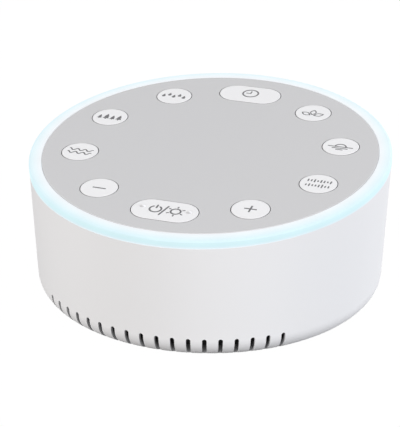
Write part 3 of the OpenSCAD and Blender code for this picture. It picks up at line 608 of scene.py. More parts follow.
@dataclass(frozen=True)
class ShellPlastic(MouldedPlastic):
    """The housing's plastic, with painted shade inside its slots, partly a dust colour and nearly black
    high and deep in them.

    Attributes:
        dust_and_shade: The colour low in a slot and near its mouth, dust and painted shade together.
        shade: The painted shade's colour high and deep in a slot.
        depths: Depths under the skin at which the slot colour starts and covers all.
        heights: Heights between which it turns from the dust colour to the darkest painted shade.
        deep: Depths between which it turns from the dust colour to the darkest painted shade.
    """

    dust_and_shade: Colour = (0.3, 0.3, 0.305, 1.0)
    shade: Colour = grey(0.004)
    depths: tuple[float, float] = (0.0 * MM, 1.2 * MM)
    heights: tuple[float, float] = (4.2 * MM, 6.0 * MM)
    deep: tuple[float, float] = (1.2 * MM, 3.0 * MM)

    def draw(self, graph: Graph, shader: bpy.types.Node) -> None:
        """Draws the plain plastic, then the painted shade and dust of the slots over it.

        Args:
            graph: The material's tree.
            shader: Its Principled shader.
        """
        super().draw(graph, shader)
        plain = shader.inputs["Base Color"].links[0].from_socket
        skin = DepthUnderSkin().put(graph)
        # Painted shade: the slot walls darken with depth under the skin and with height up the slot,
        # standing in for the shade inside each slot.
        cover = graph.spread(skin.outputs["Depth"], *self.depths)
        raised = graph.spread(skin.outputs["Height"], *self.heights)
        dark = graph.math("MAXIMUM", raised, graph.spread(skin.outputs["Depth"], *self.deep))
        inside = graph.blend(dark, self.dust_and_shade, self.shade)
        graph.feed(shader.inputs["Base Color"], graph.blend(cover, plain, inside))


@dataclass(frozen=True)
class CapPlastic(MouldedPlastic):
    """A key cap's plastic, with painted shade where its edge turns down and painted shade on the front
    slope of each dot.

    Attributes:
        top: Height of the cap's top over the face.
        reach: How far below its top the painted edge shade runs.
        tones: The painted edge shade from low to high, each with its place.
        rise: How far above the top a dot takes all of its painted shade.
        lean: Slopes toward the front at which the dot's painted shade starts and covers all.
        dot_shade: The colour of the painted shade on each dot's front slope.
    """

    top: float = 0.1 * MM
    reach: float = 0.4 * MM
    tones: tuple[tuple[float, Colour], ...] = (
        (0.1, grey(0.12)),
        (0.6, grey(0.35)),
        (0.92, WHITE),
    )
    rise: float = 0.05 * MM
    lean: tuple[float, float] = (-0.2, -0.5)
    dot_shade: Colour = (0.5, 0.5, 0.51, 1.0)

    def draw(self, graph: Graph, shader: bpy.types.Node) -> None:
        """Draws the plain plastic, then the painted edge shade and the painted shade on the dots over it.

        Args:
            graph: The material's tree.
            shader: Its Principled shader.
        """
        super().draw(graph, shader)
        plain = shader.inputs["Base Color"].links[0].from_socket
        height = FaceFrame().put(graph).outputs["Height"]
        # Painted shade: the cap darkens below its top, where its edge turns down into the gap.
        tone = graph.ramp(graph.spread(height, self.top - self.reach, self.top), self.tones)
        shaded = graph.add("ShaderNodeVectorMath", {0: plain, 1: tone}, operation="MULTIPLY").outputs[0]
        # Painted shade: each dot's slope that faces the front is darkened by its normal, as if the dot
        # were lit from behind.
        normal = graph.add("ShaderNodeNewGeometry").outputs["Normal"]
        forward = graph.spread(graph.add("ShaderNodeSeparateXYZ", {0: normal}).outputs[1], *self.lean)
        raised = graph.spread(height, self.top, self.top + self.rise)
        cover = graph.math("MULTIPLY", forward, raised)
        graph.feed(shader.inputs["Base Color"], graph.blend(cover, shaded, self.dot_shade))


@dataclass(frozen=True)
class Ink(Finish):
    """Printed ink, slightly uneven where the pad left it thinner.

    Attributes:
        speck: Size of the thin specks.
        patch: Size of the dull patches.
        thin: Share that the colour changes by in the specks.
        uneven: How much the patches change its dullness.
    """

    speck: float = 0.25 * MM
    patch: float = 2 * MM
    thin: float = 0.25
    uneven: float = 0.1

    def draw(self, graph: Graph, shader: bpy.types.Node) -> None:
        """Draws thin and thick places.

        Args:
            graph: The material's tree.
            shader: Its Principled shader.
        """
        grain = MouldGrain().put(graph, Grain_Size=self.speck, Drift_Size=self.patch)
        graph.feed(shader.inputs["Base Color"], self.vary(graph, grain.outputs["Speckle"], self.thin))
        self.dull(graph, shader, grain.outputs["Drift"], self.uneven)


@dataclass(frozen=True)
class Rubber(Finish):
    """Soft black rubber or foam, with open pores where it is foam.

    Attributes:
        pore: Size of its pores.
        depth: Depth of its pores.
        patch: Size of the patches of bloom.
        bloom: How much lighter the bloom is.
    """

    pore: float = 0.2 * MM
    depth: float = 0.01 * MM
    patch: float = 9 * MM
    bloom: float = 0.015

    def draw(self, graph: Graph, shader: bpy.types.Node) -> None:
        """Draws pores and a pale bloom.

        Args:
            graph: The material's tree.
            shader: Its Principled shader.
        """
        grain = MouldGrain().put(graph, Grain_Size=self.pore, Drift_Size=self.patch)
        bloomed = tuple(part + self.bloom for part in self.colour[:3]) + (1.0,)
        colour = graph.blend(grain.outputs["Drift"], self.colour, bloomed)
        graph.feed(shader.inputs["Base Color"], colour)
        self.bump(graph, shader, grain.outputs["Height"], self.depth)


@dataclass(frozen=True)
class Metal(Finish):
    """Bare or plated metal with drawn scratches.

    Attributes:
        scratch: Width of a scratch.
        tarnish: The tarnish's colour.
        tarnished: The tarnish's share where it is thickest.
        uneven: How much the patches change its dullness.
        depth: Depth of a scratch.
    """

    scratch: float = 0.08 * MM
    tarnish: Colour = (0.35, 0.34, 0.33, 1.0)
    tarnished: float = 0.25
    uneven: float = 0.15
    depth: float = 0.002 * MM

    def draw(self, graph: Graph, shader: bpy.types.Node) -> None:
        """Draws scratches and a little tarnish.

        Args:
            graph: The material's tree.
            shader: Its Principled shader.
        """
        drawn = DrawnScratches().put(graph, Scratch_Width=self.scratch)
        graph.feed(shader.inputs["Metallic"], 1.0)
        spots = graph.math("MULTIPLY", drawn.outputs["Dullness"], self.tarnished)
        graph.feed(shader.inputs["Base Color"], graph.blend(spots, self.colour, self.tarnish))
        self.dull(graph, shader, drawn.outputs["Dullness"], self.uneven)
        self.bump(graph, shader, drawn.outputs["Height"], self.depth)


@dataclass(frozen=True)
class Cloth(Finish):
    """Woven cloth or wire gauze, with darker gaps between its threads.

    Attributes:
        pitch: Distance between threads.
        radius: Radius of the roll that the cloth lies on.
        gap: The gaps' colour.
        depth: Height of a thread.
    """

    pitch: float = 0.6 * MM
    radius: float = 56 * MM
    gap: Colour = grey(0.002)
    depth: float = 0.1 * MM

    def draw(self, graph: Graph, shader: bpy.types.Node) -> None:
        """Draws the threads.

        Args:
            graph: The material's tree.
            shader: Its Principled shader.
        """
        threads = CrossedThreads().put(graph, Pitch=self.pitch, Radius=self.radius)
        graph.feed(shader.inputs["Base Color"], graph.blend(threads.outputs["Gap"], self.colour, self.gap))
        self.bump(graph, shader, threads.outputs["Height"], self.depth)


@dataclass(frozen=True)
class Pulp(Finish):
    """Pressed paper pulp, with fibres of two tones.

    Attributes:
        fibre: Width of a fibre.
        stretch: A fibre's width as a share of its length.
        contrast: Share that the colour changes by from fibre to fibre.
        depth: Height of a fibre.
    """

    fibre: float = 0.3 * MM
    stretch: float = 0.3
    contrast: float = 0.6
    depth: float = 0.03 * MM

    def draw(self, graph: Graph, shader: bpy.types.Node) -> None:
        """Draws fibres.

        Args:
            graph: The material's tree.
            shader: Its Principled shader.
        """
        drawn = DrawnScratches().put(graph, Scratch_Width=self.fibre, Stretch=self.stretch)
        graph.feed(shader.inputs["Base Color"], self.vary(graph, drawn.outputs["Height"], self.contrast))
        self.bump(graph, shader, drawn.outputs["Height"], self.depth)


@dataclass(frozen=True)
class CircuitBoard(Finish):
    """Solder mask over tracks, with tinned pads.

    Attributes:
        track: The mask's colour over a track.
        pad: The tin's colour.
        tinned: How metallic a pad is.
        depth: Height of a track.
    """

    track: Colour = (0.07, 0.3, 0.13, 1.0)
    pad: Colour = (0.6, 0.6, 0.58, 1.0)
    tinned: float = 0.9
    depth: float = 0.03 * MM

    def draw(self, graph: Graph, shader: bpy.types.Node) -> None:
        """Draws tracks and pads.

        Args:
            graph: The material's tree.
            shader: Its Principled shader.
        """
        tracks = BoardTracks().put(graph)
        masked = graph.blend(tracks.outputs["Track"], self.colour, self.track)
        graph.feed(shader.inputs["Base Color"], graph.blend(tracks.outputs["Pad"], masked, self.pad))
        graph.feed(shader.inputs["Metallic"], graph.math("MULTIPLY", tracks.outputs["Pad"], self.tinned))
        self.bump(graph, shader, tracks.outputs["Track"], self.depth)


@dataclass(frozen=True)
class LitPlastic(Finish):
    """Frosted plastic lit from behind, whose glow changes colour across a ring and down its side.

    Attributes:
        inner_r: Radius where the glow starts.
        width: Distance from there to where it ends, out over the top and down the side.
        glow: The glow's colours from inside to outside, each with its place.
        strength: How bright it is.
        lamps: How many lamps light it.
        pulse: How much brighter it is over a lamp.
    """

    inner_r: float = 0.0
    width: float = 1.0
    glow: tuple[tuple[float, Colour], ...] = ()
    strength: float = 1.0
    lamps: int = 24
    pulse: float = 0.012

    def draw(self, graph: Graph, shader: bpy.types.Node) -> None:
        """Draws the glow out over the top and down the side, slightly brighter over each lamp.

        Args:
            graph: The material's tree.
            shader: Its Principled shader.
        """
        place = FaceFrame().put(graph)
        run = graph.math("SUBTRACT", place.outputs["Radius"], place.outputs["Height"])
        colour = graph.ramp(graph.spread(run, self.inner_r, self.inner_r + self.width), self.glow)
        turn = graph.math("MULTIPLY", place.outputs["Turn"], float(self.lamps))
        level = graph.math("ADD", graph.math("MULTIPLY", graph.math("COSINE", turn), self.pulse), 1.0)
        lit = graph.add("ShaderNodeVectorMath", {0: colour, 1: level}, operation="MULTIPLY").outputs[0]
        graph.feed(shader.inputs["Emission Color"], lit)
        graph.feed(shader.inputs["Emission Strength"], self.strength)


# ---------------------------------------------------------------- signs


def on_circle(centre: Point, radius: float, turn: float) -> Point:
    """Returns the point of a circle at an angle from +X, in radians."""
    return (centre[0] + radius * math.cos(turn), centre[1] + radius * math.sin(turn))


class Outline:
    """Flat shapes of ink, drawn in millimetres and turned into one thin closed mesh each."""

    SHARPEST_BEND = 0.5
    CAP_STEPS = 6
    ARC_STEPS = 32
    CIRCLE_STEPS = 64

    def __init__(self, thickness: float) -> None:
        """Starts with no shapes.

        Args:
            thickness: Thickness of the ink, in millimetres.
        """
        self.mesh = bmesh.new()
        self.thickness = thickness

    def fill(self, points: Sequence[Point]) -> None:
        """Adds a closed shape.

        Args:
            points: Its corners, anticlockwise.
        """
        low = [self.mesh.verts.new((x, y, 0.0)) for x, y in points]
        high = [self.mesh.verts.new((x, y, self.thickness)) for x, y in points]
        self.mesh.faces.new(high)
        self.mesh.faces.new(low[::-1])
        self.wall(low, high)

    def wall(self, low: list[bmesh.types.BMVert], high: list[bmesh.types.BMVert]) -> None:
        """Joins a lower loop to an upper one.

        Args:
            low: The lower loop's corners.
            high: The upper loop's corners, as many.
        """
        for i, corner in enumerate(low):
            after = (i + 1) % len(low)
            self.mesh.faces.new((corner, low[after], high[after], high[i]))

    def ring(self, outer: Sequence[Point], inner: Sequence[Point]) -> None:
        """Adds a band between two closed loops of as many corners, both anticlockwise.

        Args:
            outer: The outer loop's corners.
            inner: The inner loop's corners.
        """
        levels = [(loop, height) for loop in (outer, inner) for height in (0.0, self.thickness)]
        loops = [[self.mesh.verts.new((x, y, height)) for x, y in loop] for loop, height in levels]
        out_low, out_high, in_low, in_high = loops
        self.wall(out_low, out_high)
        self.wall(in_high, in_low)
        self.wall(out_high, in_high)
        self.wall(in_low, out_low)

    def stroke(self, points: Sequence[Point], width: float) -> None:
        """Adds a line with round ends.

        Args:
            points: The line's corners.
            width: Its width.
        """
        line = [Vector(corner) for corner in points]
        steps = [(end - start).normalized() for start, end in zip(line, line[1:])]
        left, right = [], []
        for i, point in enumerate(line):
            before, after = steps[max(i - 1, 0)], steps[min(i, len(steps) - 1)]
            middle = (before + after).normalized()
            normal = Vector((-middle.y, middle.x))
            reach = width / 2 / max(middle.dot(before), self.SHARPEST_BEND)
            left.append(point + normal * reach)
            right.append(point - normal * reach)
        loop = right + self.cap(line[-1], right[-1]) + left[::-1] + self.cap(line[0], left[0])
        self.fill([tuple(corner) for corner in loop])

    def cap(self, centre: Vector, start: Vector) -> list[Vector]:
        """Finds the corners of a line's round end.

        Args:
            centre: The line's end.
            start: Where the half circle round it starts.

        Returns:
            The half circle's corners, anticlockwise, without its two ends.
        """
        arm = start - centre
        turns = (math.pi * i / self.CAP_STEPS for i in range(1, self.CAP_STEPS))
        return [centre + Matrix.Rotation(turn, 2) @ arm for turn in turns]

    def circle(self, centre: Point, radius: float, width: float) -> None:
        """Adds a circle as a line.

        Args:
            centre: Its middle.
            radius: Its radius, to the middle of the line.
            width: The line's width.
        """
        turns = [2 * math.pi * i / self.CIRCLE_STEPS for i in range(self.CIRCLE_STEPS)]
        edges = (radius + width / 2, radius - width / 2)
        self.ring(*([on_circle(centre, edge, turn) for turn in turns] for edge in edges))

    def arc(self, centre: Point, radius: float, start: float, end: float, width: float) -> None:
        """Adds part of a circle as a line.

        Args:
            centre: The circle's middle.
            radius: Its radius.
            start: Angle of the arc's start, in degrees.
            end: Angle of its end.
            width: The line's width.
        """
        shares = (i / self.ARC_STEPS for i in range(self.ARC_STEPS + 1))
        turns = (math.radians(start + (end - start) * share) for share in shares)
        self.stroke([on_circle(centre, radius, turn) for turn in turns], width)


class Sign(Enum):
    """The signs on the ten keys, each named after its key, from the front key on to the right."""

    POWER = "power"
    PLUS = "plus"
    NOISE = "noise"
    CALM = "calm"
    RELAX = "relax"
    TIMER = "timer"
    RAIN = "rain"
    FOREST = "forest"
    OCEAN = "ocean"
    MINUS = "minus"


@dataclass(frozen=True)
class SignPainter:
    """Draws the signs, in millimetres round each key's middle.

    Attributes:
        line: Width of the standard signs' lines.
        fine: Width of the pictograms' lines.
        ink: Thickness of the ink.
    """

    line: float = 0.6
    fine: float = 0.5
    ink: float = 0.04
    DROP_STEPS = 14
    BAR_SEED = 7

    def draw(self, sign: Sign) -> Outline:
        """Draws one sign.

        Args:
            sign: Which one.

        Returns:
            Its outline.
        """
        outline = Outline(self.ink)
        drawings: dict[Sign, Callable[[Outline], None]] = {
            Sign.POWER: self.power, Sign.PLUS: self.plus, Sign.NOISE: self.noise, Sign.CALM: self.calm,
            Sign.RELAX: self.relax, Sign.TIMER: self.timer, Sign.RAIN: self.rain, Sign.FOREST: self.forest,
            Sign.OCEAN: self.ocean, Sign.MINUS: self.minus,
        }
        drawings[sign](outline)
        return outline

    def power(self, outline: Outline) -> None:
        """Draws a power sign, a slash and a sun.

        Args:
            outline: Where they go.
        """
        switch = (-3.25, 0.2)
        switch_r = 1.95
        gap = (56, 124)
        stem = ((-3.2, 1.0), (-3.2, 2.7))
        slash = ((-0.95, -3.0), (0.4, 2.8))
        outline.arc(switch, switch_r, gap[1], 360 + gap[0], self.line)
        outline.stroke(stem, self.line)
        outline.stroke(slash, self.line)
        sun = (3.7, 0.25)
        sun_r = 1.65
        ray_ends = (2.4, 3.0)
        rays = 6
        outline.circle(sun, sun_r, self.line)
        for i in range(rays):
            turn = math.pi / 2 + 2 * math.pi * i / rays
            outline.stroke([on_circle(sun, reach, turn) for reach in ray_ends], self.fine)

    def timer(self, outline: Outline) -> None:
        """Draws a clock.

        Args:
            outline: Where it goes.
        """
        middle = (0.0, 0.6)
        dial_r = 2.8
        upright_hand = (middle[0], middle[1] + 1.6)
        level_hand = (middle[0] - 1.5, middle[1])
        outline.circle(middle, dial_r, self.line)
        outline.stroke([upright_hand, middle, level_hand], self.fine)

    def minus(self, outline: Outline) -> None:
        """Draws a minus."""
        ends = ((-2.0, -0.2), (2.2, -0.2))
        outline.stroke(ends, self.line)

    def plus(self, outline: Outline) -> None:
        """Draws a plus as one shape.

        Args:
            outline: Where it goes.
        """
        reach = 2.1
        half = self.line / 2
        arm = [(half, half), (half, reach), (-half, reach)]
        corners = []
        for turn in range(4):
            quarter = Matrix.Rotation(turn * math.pi / 2, 2)
            corners += [tuple(quarter @ Vector(corner)) for corner in arm]
        outline.fill(corners)

    def rain(self, outline: Outline) -> None:
        """Draws a row of falling drops, low and high by turns.

        Args:
            outline: Where it goes.
        """
        drops = 5
        pitch = 1.9
        heights = (-0.85, 0.35)
        for i in range(drops):
            middle = ((i - (drops - 1) / 2) * pitch, heights[i % 2])
            self.drop(outline, middle, radius=0.66, tip=1.75)

    def drop(self, outline: Outline, middle: Point, radius: float, tip: float) -> None:
        """Draws a drop.

        Args:
            outline: Where it goes.
            middle: The middle of its round part.
            radius: The radius of that part.
            tip: The distance from the middle up to the tip.
        """
        side = math.acos(radius / tip)
        start = math.pi / 2 + side
        sweep = 2 * math.pi - 2 * side
        turns = (start + sweep * i / self.DROP_STEPS for i in range(self.DROP_STEPS + 1))
        round_part = [on_circle(middle, radius, turn) for turn in turns]
        outline.fill([(middle[0], middle[1] + tip), *round_part])

    def forest(self, outline: Outline) -> None:
        """Draws a row of fir trees of uneven heights.

        Args:
            outline: Where it goes.
        """
        scales = (0.8, 1.05, 0.85, 1.0)
        pitch = 2.4
        foot = -2.0
        right_side = [(0.2, 0.0), (0.2, 0.6), (1.15, 0.6), (0.5, 1.8), (0.85, 1.8), (0.0, 3.9)]
        left_side = [(-x, y) for x, y in right_side[-2::-1]]
        for i, scale in enumerate(scales):
            middle = (i - (len(scales) - 1) / 2) * pitch
            outline.fill([(middle + x * scale, foot + y * scale) for x, y in right_side + left_side])

    def ocean(self, outline: Outline) -> None:
        """Draws two rows of waves.

        Args:
            outline: Where they go.
        """
        reach = 4.2
        height = 0.6
        waves = 3
        steps = 48
        levels = (1.1, -1.1)
        shares = [i / steps for i in range(steps + 1)]
        for level in levels:
            crests = [height * math.cos(2 * math.pi * waves * share) for share in shares]
            points = [(reach * (2 * share - 1), level + crest) for share, crest in zip(shares, crests)]
            outline.stroke(points, self.fine)

    def calm(self, outline: Outline) -> None:
        """Draws a low sun over still water.

        Args:
            outline: Where it goes.
        """
        horizon = -0.4
        sun_r = 1.9
        ripples = ((horizon, 4.2), (-1.5, 2.6), (-2.5, 1.1))
        outline.arc((0.0, horizon), sun_r, 0, 180, self.fine)
        for level, half in ripples:
            outline.stroke([(-half, level), (half, level)], self.fine)

    def relax(self, outline: Outline) -> None:
        """Draws a flower with petals that lean outward.

        Args:
            outline: Where it goes.
        """
        root = Vector((0.0, -2.3))
        petal_start = 0.5
        petal_length = 4.1
        petal_half = 1.2
        hollow = 0.66
        leans = (64, 0, -64)
        steps = 16
        shares = [i / steps for i in range(steps + 1)]
        widths = [petal_half * math.sin(math.pi * share) for share in shares]
        right_side = [(width, petal_start + petal_length * share) for width, share in zip(widths, shares)]
        left_side = [(-x, y) for x, y in right_side[-2:0:-1]]
        for lean in leans:
            turn = Matrix.Rotation(math.radians(lean), 2)
            outer = [turn @ Vector(corner) + root for corner in right_side + left_side]
            centre = sum(outer, Vector((0.0, 0.0))) / len(outer)
            inner = [centre + (corner - centre) * hollow for corner in outer]
            outline.ring([tuple(corner) for corner in outer], [tuple(corner) for corner in inner])

    def noise(self, outline: Outline) -> None:
        """Draws two rows of bars of uneven height.

        Args:
            outline: Where they go.
        """
        rows = (1.6, -1.6)
        bars = 8
        pitch = 1.1
        shortest = 0.3
        longest = 1.1
        heights = random.Random(self.BAR_SEED)
        for middle in rows:
            for i in range(bars):
                half = heights.uniform(shortest, longest)
                x = (i - (bars - 1) / 2) * pitch
                outline.stroke([(x, middle - half), (x, middle + half)], self.fine)


# ---------------------------------------------------------------- pieces of the machine


def dress_nodes(finish: Finish, *nodes: str) -> None:
    """Gives CAD nodes a finish.

    Args:
        finish: The finish.
        nodes: The nodes' names.
    """
    for name in nodes:
        for material_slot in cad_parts[name].material_slots:
            material_slot.material = finish.material()
        LOG.info("dressed %s in %s", name, finish.name)


def add_piece(name: str, shape: bmesh.types.BMesh, finish: Finish, body: str) -> None:
    """Makes a mesh of its own into a piece of the machine.

    Args:
        name: The piece's name.
        shape: Its mesh, in the row frame, which is used up.
        finish: Its finish.
        body: The CAD body that it rides on.
    """
    bmesh.ops.recalc_face_normals(shape, faces=shape.faces)
    mesh = bpy.data.meshes.new(name)
    shape.to_mesh(mesh)
    shape.free()
    mesh.materials.append(finish.material())
    piece = bpy.data.objects.new(name, mesh)
    bpy.context.scene.collection.objects.link(piece)
    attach(piece, body)
    LOG.info("built %s on %s", name, body)


@dataclass(frozen=True)
class TopFace:
    """The sloping face that the panel, the ring and the keys share.

    Attributes:
        mid_height: Height of its middle above the table.
        slope: Its slope down toward the front.
    """

    mid_height: float = FACE_HEIGHT
    slope: float = FACE_SLOPE

    def matrix(self) -> Matrix:
        """Returns the move from the face's own frame to the object's."""
        return Matrix.Translation((0, 0, self.mid_height)) @ Matrix.Rotation(self.slope, 4, "X")


@dataclass(frozen=True)
class Housing:
    """The white shell, its base and what closes it from below."""

    shell: ShellPlastic = ShellPlastic(
        "shell_white", screen(236, 236, 238), roughness=0.6, specular=0.25
    )
    base: MouldedPlastic = MouldedPlastic("base_white", screen(236, 236, 238), roughness=0.55)
    gauze: Cloth = Cloth("slot_gauze", screen(22, 22, 23), roughness=0.8)
    feet: Rubber = Rubber("foot_rubber", screen(38, 38, 39), roughness=0.75)

    def dress(self) -> None:
        """Dresses the shell, base, gauze and feet."""
        dress_nodes(self.shell, "body_shell")
        dress_nodes(self.base, "base_plate")
        dress_nodes(self.gauze, "dust_mesh")
        dress_nodes(self.feet, "feet")


@dataclass(frozen=True)
class LightRing:
    """The frosted ring round the panel, which lamps on the key board light from below.

    Attributes:
        inner_r: Radius of its inner edge.
        width: Its width.
        drop: How far its side comes down from the face.
    """

    inner_r: float = 58.05 * MM
    width: float = 4.2 * MM
    drop: float = 3.0 * MM

    def finish(self) -> LitPlastic:
        """Works out the ring's finish.

        Returns:
            The frosted plastic, with a glow over the ring's top and side.
        """
        glow = (
            (0.0, screen(209, 207, 208)),
            (0.2, screen(203, 207, 209)),
            (0.4, screen(194, 206, 209)),
            (0.58, screen(179, 200, 206)),
            (0.75, screen(176, 204, 207)),
            (0.87, screen(174, 202, 207)),
            (1.0, screen(192, 201, 206)),
        )
        return LitPlastic(
            "ring_frosted", screen(140, 152, 157), roughness=0.6, specular=0.25,
            inner_r=self.inner_r, width=self.width + self.drop, glow=glow,
        )

    def dress(self) -> None:
        """Dresses the ring and its lamps."""
        dress_nodes(self.finish(), "light_ring")
        dress_nodes(MouldedPlastic("lamp_clear", screen(240, 244, 250), roughness=0.2), "ring_leds")


@dataclass(frozen=True)
class Key:
    """One key of the top face.

    Attributes:
        sign: Its sign, which also names it.
        turn: Where it lies round the face, from +X, in degrees.
    """

    sign: Sign
    turn: float

    @property
    def name(self) -> str:
        """The name of the key and of its body."""
        return self.sign.value


@dataclass(frozen=True)
class KeyPanel:
    """The grey panel with its ten keys.

    Attributes:
        face: The sloping face that they lie in.
        circle_r: Radius of the circle that the keys lie on.
        proud: Height of the keys above the panel.
        sunk: How deep the ink sits in a key.
        painter: What draws the signs.
        panel: The panel's finish.
        cap: The keys' finish.
        ink: The signs' finish.
    """

    face: TopFace
    circle_r: float = 44.8 * MM
    proud: float = 0.1 * MM
    sunk: float = 0.02 * MM
    painter: SignPainter = SignPainter()
    panel: MouldedPlastic = MouldedPlastic(
        "panel_grey", screen(207, 207, 209), roughness=0.6, specular=0.25, drift=0.01
    )
    cap: CapPlastic = CapPlastic(
        "key_white", screen(241, 241, 243), roughness=0.55, specular=0.25, drift=0.01
    )
    ink: Ink = Ink("sign_ink", screen(100, 100, 103), roughness=0.5)

    def keys(self) -> list[Key]:
        """Lists the keys round the face, with the timer key straight across from the power key.

        Returns:
            The keys, from the power key at the front on to the right.
        """
        front = -90
        return [Key(sign, front + 360 * step / len(Sign)) for step, sign in enumerate(Sign)]

    def dress(self) -> None:
        """Dresses the panel and the key caps."""
        dress_nodes(self.panel, "top_panel")
        dress_nodes(self.cap, *(f"{key.name}_key" for key in self.keys()))

    def print_signs(self) -> None:
        """Prints each key's sign on its cap."""
        for key in self.keys():
            across = on_circle((0.0, 0.0), self.circle_r, math.radians(key.turn))
            place = (*across, self.proud - self.sunk)
            shape = self.painter.draw(key.sign).mesh
            shape.transform(self.face.matrix() @ Matrix.Translation(place) @ Matrix.Scale(MM, 4))
            add_piece(f"{key.name}_sign", shape, self.ink, key.name)


@dataclass(frozen=True)
class KeyWorks:
    """The frame, switches and board under the keys."""

    moulding: MouldedPlastic = MouldedPlastic("inner_white", screen(218, 219, 219), roughness=0.6)
    plunger: MouldedPlastic = MouldedPlastic("plunger_black", screen(34, 34, 36), roughness=0.45)
    board: CircuitBoard = CircuitBoard("board_green", screen(28, 92, 48), roughness=0.35)
    steel: Metal = Metal("plated_steel", screen(178, 179, 182), roughness=0.32)

    def dress(self) -> None:
        """Dresses the works under the keys."""
        dress_nodes(self.moulding, "key_frame", "speaker_baffle")
        dress_nodes(self.plunger, *(f"{sign.value}_plunger" for sign in Sign))
        dress_nodes(self.board, "key_board", "main_board")
        dress_nodes(self.steel, "switch_housings")


@dataclass(frozen=True)
class Fasteners:
    """All the screws."""

    zinc: Metal = Metal("zinc_screw", screen(186, 187, 188), roughness=0.28, scratch=0.05 * MM)

    def dress(self) -> None:
        """Dresses the screws."""
        screws = ("panel", "board", "baffle", "speaker", "main_board", "base")
        dress_nodes(self.zinc, *(f"{where}_screws" for where in screws))


@dataclass(frozen=True)
class Speaker:
    """The speaker that fires down behind the slots."""

    frame_steel: Metal = Metal("basket_steel", screen(168, 170, 174), roughness=0.35)
    ferrite: MouldedPlastic = MouldedPlastic(
        "magnet_ferrite", screen(58, 58, 60), roughness=0.7, grain=0.1 * MM
    )
    paper: Pulp = Pulp("cone_pulp", screen(44, 43, 42), roughness=0.85)
    roll: Rubber = Rubber("roll_rubber", screen(30, 30, 31), roughness=0.6)
    foam: Rubber = Rubber(
        "gasket_foam", screen(34, 34, 35), roughness=0.9, pore=0.5 * MM, depth=0.05 * MM
    )
    winding: Metal = Metal(
        "coil_copper", screen(196, 120, 72), roughness=0.3, tarnish=(0.2, 0.08, 0.03, 1.0)
    )
    pleats: Cloth = Cloth(
        "spider_cloth", screen(188, 160, 104), roughness=0.8, pitch=0.9 * MM, radius=12 * MM
    )
    strip: MouldedPlastic = MouldedPlastic("terminal_brown", screen(122, 86, 52), roughness=0.55)

    def dress(self) -> None:
        """Dresses the speaker."""
        dress_nodes(self.frame_steel, "speaker_basket", "speaker_plates")
        dress_nodes(self.ferrite, "speaker_magnet")
        dress_nodes(self.paper, "speaker_cone", "speaker_dust_cap")
        dress_nodes(self.roll, "speaker_surround")
        dress_nodes(self.foam, "speaker_gasket")
        dress_nodes(self.winding, "speaker_coil")
        dress_nodes(self.pleats, "speaker_spider")
        dress_nodes(self.strip, "speaker_terminals")


@dataclass(frozen=True)
class MainWorks:
    """The main board's parts, the inlet and the cables inside."""

    chip: MouldedPlastic = MouldedPlastic(
        "chip_black", screen(30, 30, 31), roughness=0.5, grain=0.1 * MM
    )
    sleeve: MouldedPlastic = MouldedPlastic("capacitor_sleeve", screen(40, 46, 92), roughness=0.3)
    plug: MouldedPlastic = MouldedPlastic("plug_cream", screen(224, 217, 192), roughness=0.5)
    ribbon: MouldedPlastic = MouldedPlastic("ribbon_grey", screen(165, 165, 168), roughness=0.45)
    lead: MouldedPlastic = MouldedPlastic("lead_red", screen(168, 36, 30), roughness=0.4)
    socket: MouldedPlastic = MouldedPlastic("socket_black", screen(24, 24, 25), roughness=0.45)
    contact: Metal = Metal("contact_nickel", screen(200, 198, 190), roughness=0.2)

    def dress(self) -> None:
        """Dresses the boards' parts, cables and inlet."""
        dress_nodes(self.chip, "main_chips")
        dress_nodes(self.sleeve, "main_capacitors")
        dress_nodes(self.plug, "cable_plugs")
        dress_nodes(self.ribbon, "ribbon_cable")
        dress_nodes(self.lead, "speaker_leads")
        dress_nodes(self.socket, "power_socket")
        dress_nodes(self.contact, "power_socket_pin")


# ---------------------------------------------------------------- studio


@dataclass(frozen=True)
class Softbox:
    """A square lamp that points at the machine.

    Attributes:
        name: Its name.
        place: Where it hangs.
        size: The length of its side.
        power: Its power, in watts.
        colour: Its colour.
    """

    name: str
    place: tuple[float, float, float]
    size: float
    power: float
    colour: tuple[float, float, float] = (1.0, 1.0, 1.0)

    def hang(self, target: Vector) -> None:
        """Hangs the lamp and points it.

        Args:
            target: The point that it lights.
        """
        light = bpy.data.lights.new(self.name, "AREA")
        light.size = self.size
        light.energy = self.power
        light.color = self.colour
        lamp = bpy.data.objects.new(self.name, light)
        lamp.location = self.place
        lamp.rotation_euler = (target - Vector(self.place)).to_track_quat("-Z", "Y").to_euler()
        bpy.context.scene.collection.objects.link(lamp)


